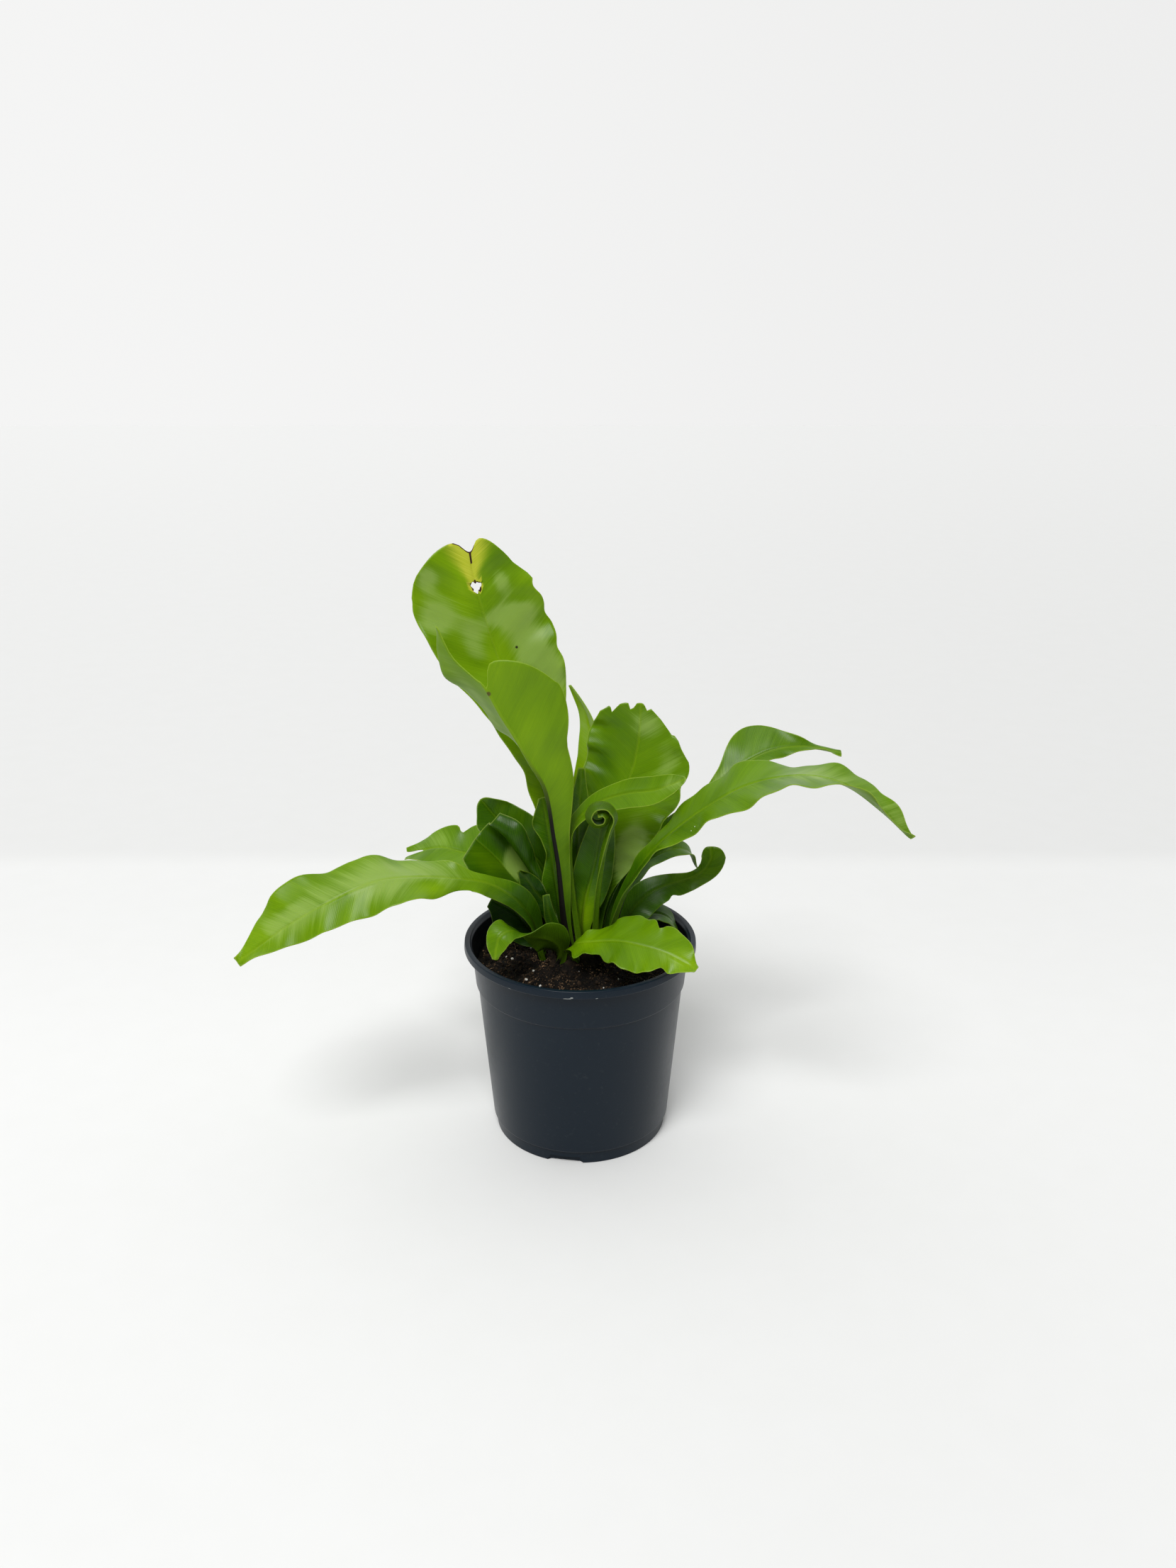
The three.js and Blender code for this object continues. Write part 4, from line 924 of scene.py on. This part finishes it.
def pot_material():
    look = Look(bpy.data.materials.new("pot_plastic"))
    place = look.place()
    x, y, z = (look.node("SeparateXYZ", {0: place}, k) for k in range(3))
    cloud = look.noise(place, 22.0, 4.0, 0.6)
    dust = look.noise(place, 260.0, 3.0, 0.7)
    specks = look.node("TexVoronoi", {"Vector": place, "Scale": 420.0})
    color = look.mix(cloud, PLASTIC["dark"], PLASTIC["light"])
    color = look.mix(look.times(look.step(dust, 0.58, 0.75), 0.2), color, PLASTIC["dust"])
    color = look.mix(look.times(look.step(specks, 0.10, 0.03), 0.12), color, PLASTIC["speck"])
    reach = look.node("VectorMath", {0: look.node("CombineXYZ", {0: x, 1: y})}, "Value", operation="LENGTH")
    shoulder, middle = POT["collar_bottom"] * MM, (POT["collar"] - POT["wall"] / 2) * MM
    wall = look.math("MULTIPLY_ADD", look.math("SUBTRACT", z, shoulder), WALL_SLOPE, middle)
    # Painted shade: the inner face of the collar, above its shoulder, is darkened as the shade inside the
    # pot.
    inner = look.times(look.step(look.math("SUBTRACT", reach, wall), 0.0002, -0.0002),
                      look.step(z, shoulder, shoulder + 1.5 * MM))
    color = look.mix(look.times(inner, 0.85), color, PLASTIC["inside"])
    marks = None
    for angle, height, long, tall in SCUFFS:
        a = math.radians(angle)
        across = look.plus(look.times(x, -math.sin(a)), look.times(y, math.cos(a)))
        wobble = look.plus(z, look.times(dust, 0.0012))
        level = look.math("ABSOLUTE", look.math("SUBTRACT", wobble, height + 0.0006))
        near = look.times(look.step(look.math("ABSOLUTE", across), long, long * 0.7),
                          look.step(level, tall * 1.5, tall * 0.6))
        near = look.times(near, look.math("LESS_THAN", y, 0.0))
        marks = near if marks is None else look.math("MAXIMUM", marks, near)
    color = look.mix(look.times(marks, 0.8), color, PLASTIC["scuff"])
    rough = look.plus(0.24, look.times(cloud, 0.14))
    rough = look.plus(rough, look.times(dust, 0.08))
    height = look.plus(look.noise(place, 900.0, 2.0), look.times(cloud, 0.8))
    return look.finish(color, rough, look.bump(height, 0.25, 0.0001), Specular_IOR_Level=0.21)


def make_pot():
    p = POT
    inside, floor = p["rim"] - p["lip_width"], p["floor_raise"] + p["floor_thick"]
    ring, lip = p["foot"] - p["foot_ring"], p["height"] - p["lip_height"]
    profile = [
        [0, 0], [p["pad"], 0], [p["pad"] + 2, p["floor_raise"]], [ring, p["floor_raise"]], [ring + 1, 0],
        [p["foot"], 0], [p["foot"] + 0.4, p["foot_height"]], [p["body"], p["foot_height"] + 0.6],
        [p["body_top"], p["collar_bottom"] - 0.6], [p["collar"], p["collar_bottom"]],
        [p["collar_top"], lip - 0.4], [p["collar_top"] + 1.2, lip], [p["rim"] - 0.2, lip],
        [p["rim"], lip + 0.6], [p["rim"] - 0.3, p["height"]], [inside + 0.6, p["height"] - 0.1],
        [inside, p["height"] - 1.2], [inside - 1, p["height"] - 2.4],
        [p["collar"] - p["wall"], p["collar_bottom"]],
        [p["body_top"] - p["wall"], p["collar_bottom"] - 2], [p["foot"] - p["wall"], floor], [0, floor],
    ]
    pot = mesh_object("nursery_pot", *lathe(rounded(profile, 0.7), p["sides"]))
    cutters = []
    for i in range(NOTCH["count"]):
        a = math.radians(NOTCH["first"] + 360 / NOTCH["count"] * i)
        out, over = np.array([math.cos(a), math.sin(a), 0]), np.array([-math.sin(a), math.cos(a), 0])
        corner = lambda r, w, z: out * r + over * w + np.array([0, 0, z])
        far, half = p["foot"] + 6, NOTCH["width"] / 2
        for depth, height in ((2.2, NOTCH["height"]), (2.2 * p["foot_ring"], NOTCH["slot"])):
            near = p["foot"] - depth
            level = lambda w, z: [
                corner(near, -w, z), corner(far, -w, z), corner(far, w, z), corner(near, w, z)]
            cutters.append(prism("notch", level(half + 2.4, -2), level(half - 0.6, height)))
    turn = 2 * np.pi * np.arange(28) / 28
    for i in range(DRAIN["count"]):
        a = 2 * math.pi * i / DRAIN["count"]
        hole = np.stack([DRAIN["circle"] * math.cos(a) + DRAIN["radius"] * np.cos(turn),
                         DRAIN["circle"] * math.sin(a) + DRAIN["radius"] * np.sin(turn), 0 * turn], axis=1)
        cutters.append(prism("drain", hole - [0, 0, 4], hole + [0, 0, 12]))
    cut(pot, cutters)
    sharpen(pot)
    pot.data.materials.clear()
    dress(pot, pot_material(), "pot", "pot")


def bumps(x, y, wave, seed, count=14):
    """A smooth random field of about -1 to 1, with lumps about as wide as the wave."""
    rng = np.random.default_rng(seed)
    total = 0
    for _ in range(count):
        a, k = rng.uniform(0, 2 * np.pi), 2 * np.pi / (wave * rng.uniform(0.8, 2.0))
        total = total + np.sin(k * (x * math.cos(a) + y * math.sin(a)) + rng.uniform(0, 2 * np.pi))
    return total / math.sqrt(count)


def mix_height(x, y):
    """Height of the mix: the solid's own mound and lumps, with clods and crumbs on it."""
    r, edge = np.hypot(x, y), POT["body_top"]
    rise = SOIL["mound"] * (1 - smooth(0.25 * edge, edge, r))
    lumps = np.sin(0.31 * x + 1.3) * np.cos(0.27 * y - 0.6) + 0.6 * np.sin(0.52 * x - 0.47 * y)
    fine = 0.9 * bumps(x, y, 9, 1) + 0.5 * bumps(x, y, 4, 2) + 0.3 * bumps(x, y, 1.9, 3)
    return SOIL["edge"] + rise + SOIL["grain"] * lumps * (1 - smooth(0.8 * edge, edge, r)) + 0.8 * fine


def soil_material(name):
    dark, light, contrast = EARTH[name]
    look = Look(bpy.data.materials.new(name))
    place = look.place()
    tone = look.parts("tint")[0]
    clod = look.noise(place, 240.0, 5.0, 0.65)
    dust = look.noise(place, 1400.0, 3.0, 0.7)
    share = look.plus(look.times(look.step(clod, 0.38, 0.68), 0.5 * contrast), tone)
    color = look.mix(look.math("MINIMUM", share, 1.0), dark, light)
    color = look.mix(look.times(look.step(dust, 0.56, 0.8), 0.3), color, DRY_DUST)
    height = look.plus(clod, look.times(dust, 0.6))
    rough = look.plus(0.78, look.times(dust, 0.2))
    return look.finish(color, rough, look.bump(height, 0.8, 0.0006), Specular_IOR_Level=0.15)


def pot_inside(z):
    floor, shoulder = POT["floor_raise"] + POT["floor_thick"], POT["collar_bottom"]
    if z < shoulder:
        low, high = POT["foot"] - POT["wall"], POT["body_top"] - POT["wall"]
        return low + (high - low) * (z - floor) / (shoulder - 2 - floor)
    low, high = POT["collar"] - POT["wall"], POT["rim"] - POT["lip_width"] - 1
    return low + (high - low) * (z - shoulder) / (POT["height"] - 2.4 - shoulder)


def crumb_mesh(spots, sizes, tones, subdivisions, seed):
    """Many small rough stones in one mesh, each squashed and turned in its own way."""
    rng = np.random.default_rng(seed)
    ball = bmesh.new()
    bmesh.ops.create_icosphere(ball, subdivisions=subdivisions, radius=1.0)
    base = np.array([v.co[:] for v in ball.verts])
    triangles = np.array([[v.index for v in f.verts] for f in ball.faces])
    ball.free()
    points, faces, tint = [], [], []
    for spot, size, tone in zip(spots, sizes, tones):
        shape = base * rng.uniform(0.72, 1.25, (len(base), 1)) * rng.uniform(0.65, 1.15, 3)
        turn, _ = np.linalg.qr(rng.normal(size=(3, 3)))
        turn = turn * np.sign(np.linalg.det(turn))
        faces += (triangles + len(points) * len(base)).tolist()
        points.append(shape @ turn.T * size + spot)
        tint += [(tone, rng.uniform(), 0)] * len(base)
    return np.concatenate(points), faces, {"tint": tint}


def scattered(count, seed, inner=0.0):
    """Places spread evenly over the mix, outside an inner radius, and the generator that drew them."""
    rng = np.random.default_rng(seed)
    r = np.sqrt(rng.uniform(inner ** 2, MIX_REACH ** 2, count))
    a = rng.uniform(0, 2 * np.pi, count)
    return r * np.cos(a), r * np.sin(a), rng


def dry_patches(x, y):
    """1 where the mix has dried to a paler brown, 0 where it is still black and damp."""
    return smooth(-0.5, 0.9, bumps(x, y, 17, 4))


def make_mix():
    floor = POT["floor_raise"] + POT["floor_thick"] + 0.3
    sides, n = SOIL["sides"], SOIL["rings"]
    a = 2 * np.pi * np.arange(sides) / sides
    ring = lambda r, z: np.stack([r * np.cos(a), r * np.sin(a), np.broadcast_to(z, sides)], axis=1)
    rings = [ring(pot_inside(z) - 0.3, z) for z in (floor, 40, 70, 95, 100)]
    edge = pot_inside(SOIL["edge"]) - 0.25
    for k in range(n, 0, -1):
        r = edge * k / n
        z = mix_height(r * np.cos(a), r * np.sin(a)) + MIX_BEDS * smooth(edge - 4, edge, r)
        rings.append(ring(r, z))
    middle = mix_height(np.zeros(1), np.zeros(1))
    points, faces = skin(rings, floor, float(middle[0]))
    mix = mesh_object("potting_mix", points, faces, {"tint": np.zeros((len(points), 3))})
    dress(mix, soil_material("mix_dark"), "soil", "soil")

    x, y, rng = scattered(7500, 5)
    size = rng.uniform(0.42, 0.85, len(x)) ** 2
    z = mix_height(x, y) + 0.35 * size
    tones = dry_patches(x, y) * rng.uniform(0.1, 1.0, len(x)) ** 3
    crumbs = mesh_object("mix_crumbs", *crumb_mesh(np.stack([x, y, z], 1), size, tones, 1, 6))
    x, y, rng = scattered(300, 8)
    size = rng.uniform(0.7, 1.5, len(x))
    z = mix_height(x, y) + 0.1 * size
    tones = dry_patches(x, y) * rng.uniform(0, 0.7, len(x)) ** 4
    clods = mesh_object("mix_clods", *crumb_mesh(np.stack([x, y, z], 1), size, tones, 2, 9))
    brown = soil_material("mix_crumb")
    for piece in (crumbs, clods):
        dress(piece, brown, "soil")

    x, y, rng = scattered(46, 11, 22)
    size = rng.uniform(0.35, 0.75, len(x))
    seen = len(PERLITE)
    x[:seen], y[:seen], size[:seen] = zip(*PERLITE)
    z = mix_height(x, y) + 0.55 * size + 0.3
    perlite = mesh_object("perlite", *crumb_mesh(np.stack([x, y, z], 1), size, np.ones(len(x)), 2, 12))
    dress(perlite, soil_material("perlite_white"), "soil")


def tube(path, radius, sides=5):
    """A closed thin tube along a path, pointed at its end."""
    path = np.asarray(path, float)
    along = unit(np.gradient(path, axis=0))
    side = unit(np.cross(along, [0.13, 0.31, 0.94]))
    over = np.cross(along, side)
    a = 2 * np.pi * np.arange(sides) / sides
    width = radius * np.linspace(1, 0.35, len(path))[:, None, None]
    rings = path[:, None] + width * (side[:, None] * np.cos(a)[:, None] + over[:, None] * np.sin(a)[:, None])
    faces = []
    for i in range(len(path) - 1):
        for j in range(sides):
            k = (j + 1) % sides
            faces.append([i * sides + j, i * sides + k, (i + 1) * sides + k, (i + 1) * sides + j])
    faces += [list(range(sides))[::-1], [(len(path) - 1) * sides + j for j in range(sides)]]
    return rings.reshape(-1, 3), faces


def joined(parts):
    points, faces, start = [], [], 0
    for p, f in parts:
        faces += [[start + i for i in face] for face in f]
        points.append(p)
        start += len(p)
    return np.concatenate(points), faces


def make_crown():
    c = CROWN
    profile = [[0, c["bottom"]], [c["radius"] * 0.6, c["bottom"]], [c["radius"], c["shoulder"] - 6],
               [c["radius"], c["shoulder"]], [c["radius"] * 0.8, c["top"] - 4],
               [c["radius"] * 0.45, c["top"]], [0, c["top"]]]
    line = rounded(profile, 4, 6)
    fine = [line[0]]
    for a, b in zip(line, line[1:]):
        steps = max(1, int(np.linalg.norm(b - a) / 1.0))
        fine += [a + (b - a) * k / steps for k in range(1, steps + 1)]
    points, faces = lathe(np.array(fine), 120)
    angle, height = np.arctan2(points[:, 1], points[:, 0]), points[:, 2]
    grow = 0.7 * np.sin(23 * angle + 0.4 * height) + 0.5 * bumps(angle * 20, height, 3, 21)
    reach = np.hypot(points[:, 0], points[:, 1])
    out = points[:, :2] / np.maximum(reach, 1e-6)[:, None]
    points[:, :2] += out * (grow * smooth(0, 6, reach))[:, None]
    points[:, 2] += 0.5 * bumps(points[:, 0], points[:, 1], 3.5, 22) * smooth(100, 112, height)
    points[:, :2] += [c["x"], c["y"]]
    crown = mesh_object("crown_stem", points, faces, {"tint": np.zeros((len(points), 3))})
    material = soil_material("crown_bark")
    dress(crown, material, "crown", "crown")

    rng = np.random.default_rng(31)
    scales = []
    for frond in FRONDS:
        rib = Midrib(frond["path"])
        for _ in range(16):
            start, along = rib.place(np.array(rng.uniform(0.01, 0.07)))
            start[2] = rng.uniform(113, 121)
            a = rng.uniform(0, 2 * np.pi)
            out = np.array([math.cos(a), math.sin(a), 0])
            foot = start + out * rng.uniform(1.5, 3.4)
            length, lean = rng.uniform(3, 7.5), rng.uniform(0.1, 0.6)
            s = np.linspace(0, 1, 5)[:, None]
            path = foot + length * (along * s + out * lean * s ** 2 - [0, 0, 0.1] * s ** 3)
            scales.append(tube(path, rng.uniform(0.22, 0.42), 4))
    points, faces = joined(scales)
    ramenta = mesh_object("crown_scales", points, faces, {"tint": np.tile([0.25, 0, 0], (len(points), 1))})
    dress(ramenta, material, "crown")

    roots = []
    for x, y, turn, length in ROOTS:
        s = np.linspace(0, 1, 12)
        bearing = math.radians(turn) + 0.9 * np.sin(5 * s + x)
        path = np.cumsum(np.stack([np.cos(bearing), np.sin(bearing)], 1) * length / 12, axis=0) + [x, y]
        z = mix_height(path[:, 0], path[:, 1]) + 0.5 + 1.6 * np.sin(np.pi * s) * (0.5 + 0.5 * math.sin(y))
        roots.append(tube(np.column_stack([path, z]), 0.26))
    points, faces = joined(roots)
    hairs = mesh_object("mix_roots", points, faces, {"tint": np.tile([0.8, 0, 0], (len(points), 1))})
    dress(hairs, soil_material("root_hair"), "soil")


EYE = (0.0047, -0.772, 0.5082)  # where the photograph was taken from, in metres
PITCH = 20.26  # how far down the camera looks, in degrees
LENS = 2000 / 2212 * 36
FLOOR_HALF = 4000
# Light and shade on the floor by its depth in metres: from where to where, how much, and which.
BANDS = [(0.0, 0.35, 0.05, (0, 0, 0)), (0.385, 0.435, 0.065, (0, 0, 0)), (0.5, 4.0, 0.13, (1, 1, 1))]
TURN_RIGHT = (-0.35, 0.42)  # both floor and wall grow dimmer over these steps to the right of the view
SKY = (-0.45, 0.45, 0.16, 0.91)  # the light's strength from behind the camera to behind the plant


def floor_material():
    look = Look(bpy.data.materials.new("floor_paper"))
    place = look.place()
    paper = look.mix(look.noise(place, 40.0, 4.0), (0.81, 0.815, 0.805), (0.83, 0.835, 0.83))
    side, depth = (look.node("SeparateXYZ", {0: place}, k) for k in range(2))
    for start, end, strength, shade in BANDS:
        paper = look.mix(look.step(depth, start, end, 0.0, strength), paper, shade)
    away = look.math("MAXIMUM", look.math("SUBTRACT", depth, EYE[1]), 0.3)
    right = look.step(look.math("DIVIDE", side, away), *TURN_RIGHT, 0.0, 0.055)
    return look.finish(look.mix(right, paper, (0, 0, 0)), 0.9, Specular_IOR_Level=0.2)


def studio():
    """A pale floor, soft light from above the camera, and the photograph's camera."""
    scene = bpy.context.scene
    h = FLOOR_HALF
    floor = mesh_object("floor", [[-h, -h, 0], [h, -h, 0], [h, h, 0], [-h, h, 0]], [[0, 1, 2, 3]])
    floor.data.materials.append(floor_material())
    floor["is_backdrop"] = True

    scene.world = bpy.data.worlds.new("studio")
    sky = Look(scene.world)
    way = sky.node("TexCoord", output="Generated")
    x, y = (sky.node("SeparateXYZ", {0: way}, k) for k in range(2))
    strength = sky.times(sky.step(y, *SKY), sky.step(x, *TURN_RIGHT, 1.0, 0.94))
    light = sky.node("Background", {"Color": (1, 1, 0.995, 1), "Strength": strength})
    sky.node("OutputWorld", {"Surface": light})

    sun = bpy.data.lights.new("key", "SUN")
    sun.energy = 2.5
    sun.angle = math.radians(27)
    key = bpy.data.objects.new("key", sun)
    key.rotation_euler = (math.radians(34), 0, math.radians(-15))
    lens = bpy.data.cameras.new("camera")
    lens.sensor_width = 36
    lens.lens = LENS
    lens.clip_start = 0.01
    camera = bpy.data.objects.new("camera", lens)
    camera.location = EYE
    camera.rotation_euler = (math.radians(90 - PITCH), 0, 0)
    for piece in (key, camera):
        scene.collection.objects.link(piece)
    scene.camera = camera
    scene.view_settings.view_transform = "Standard"


make_pot()
make_mix()
make_crown()
grow_fronds()
studio()

{"cad": cad_box, "visual": [list(corner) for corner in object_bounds()]}
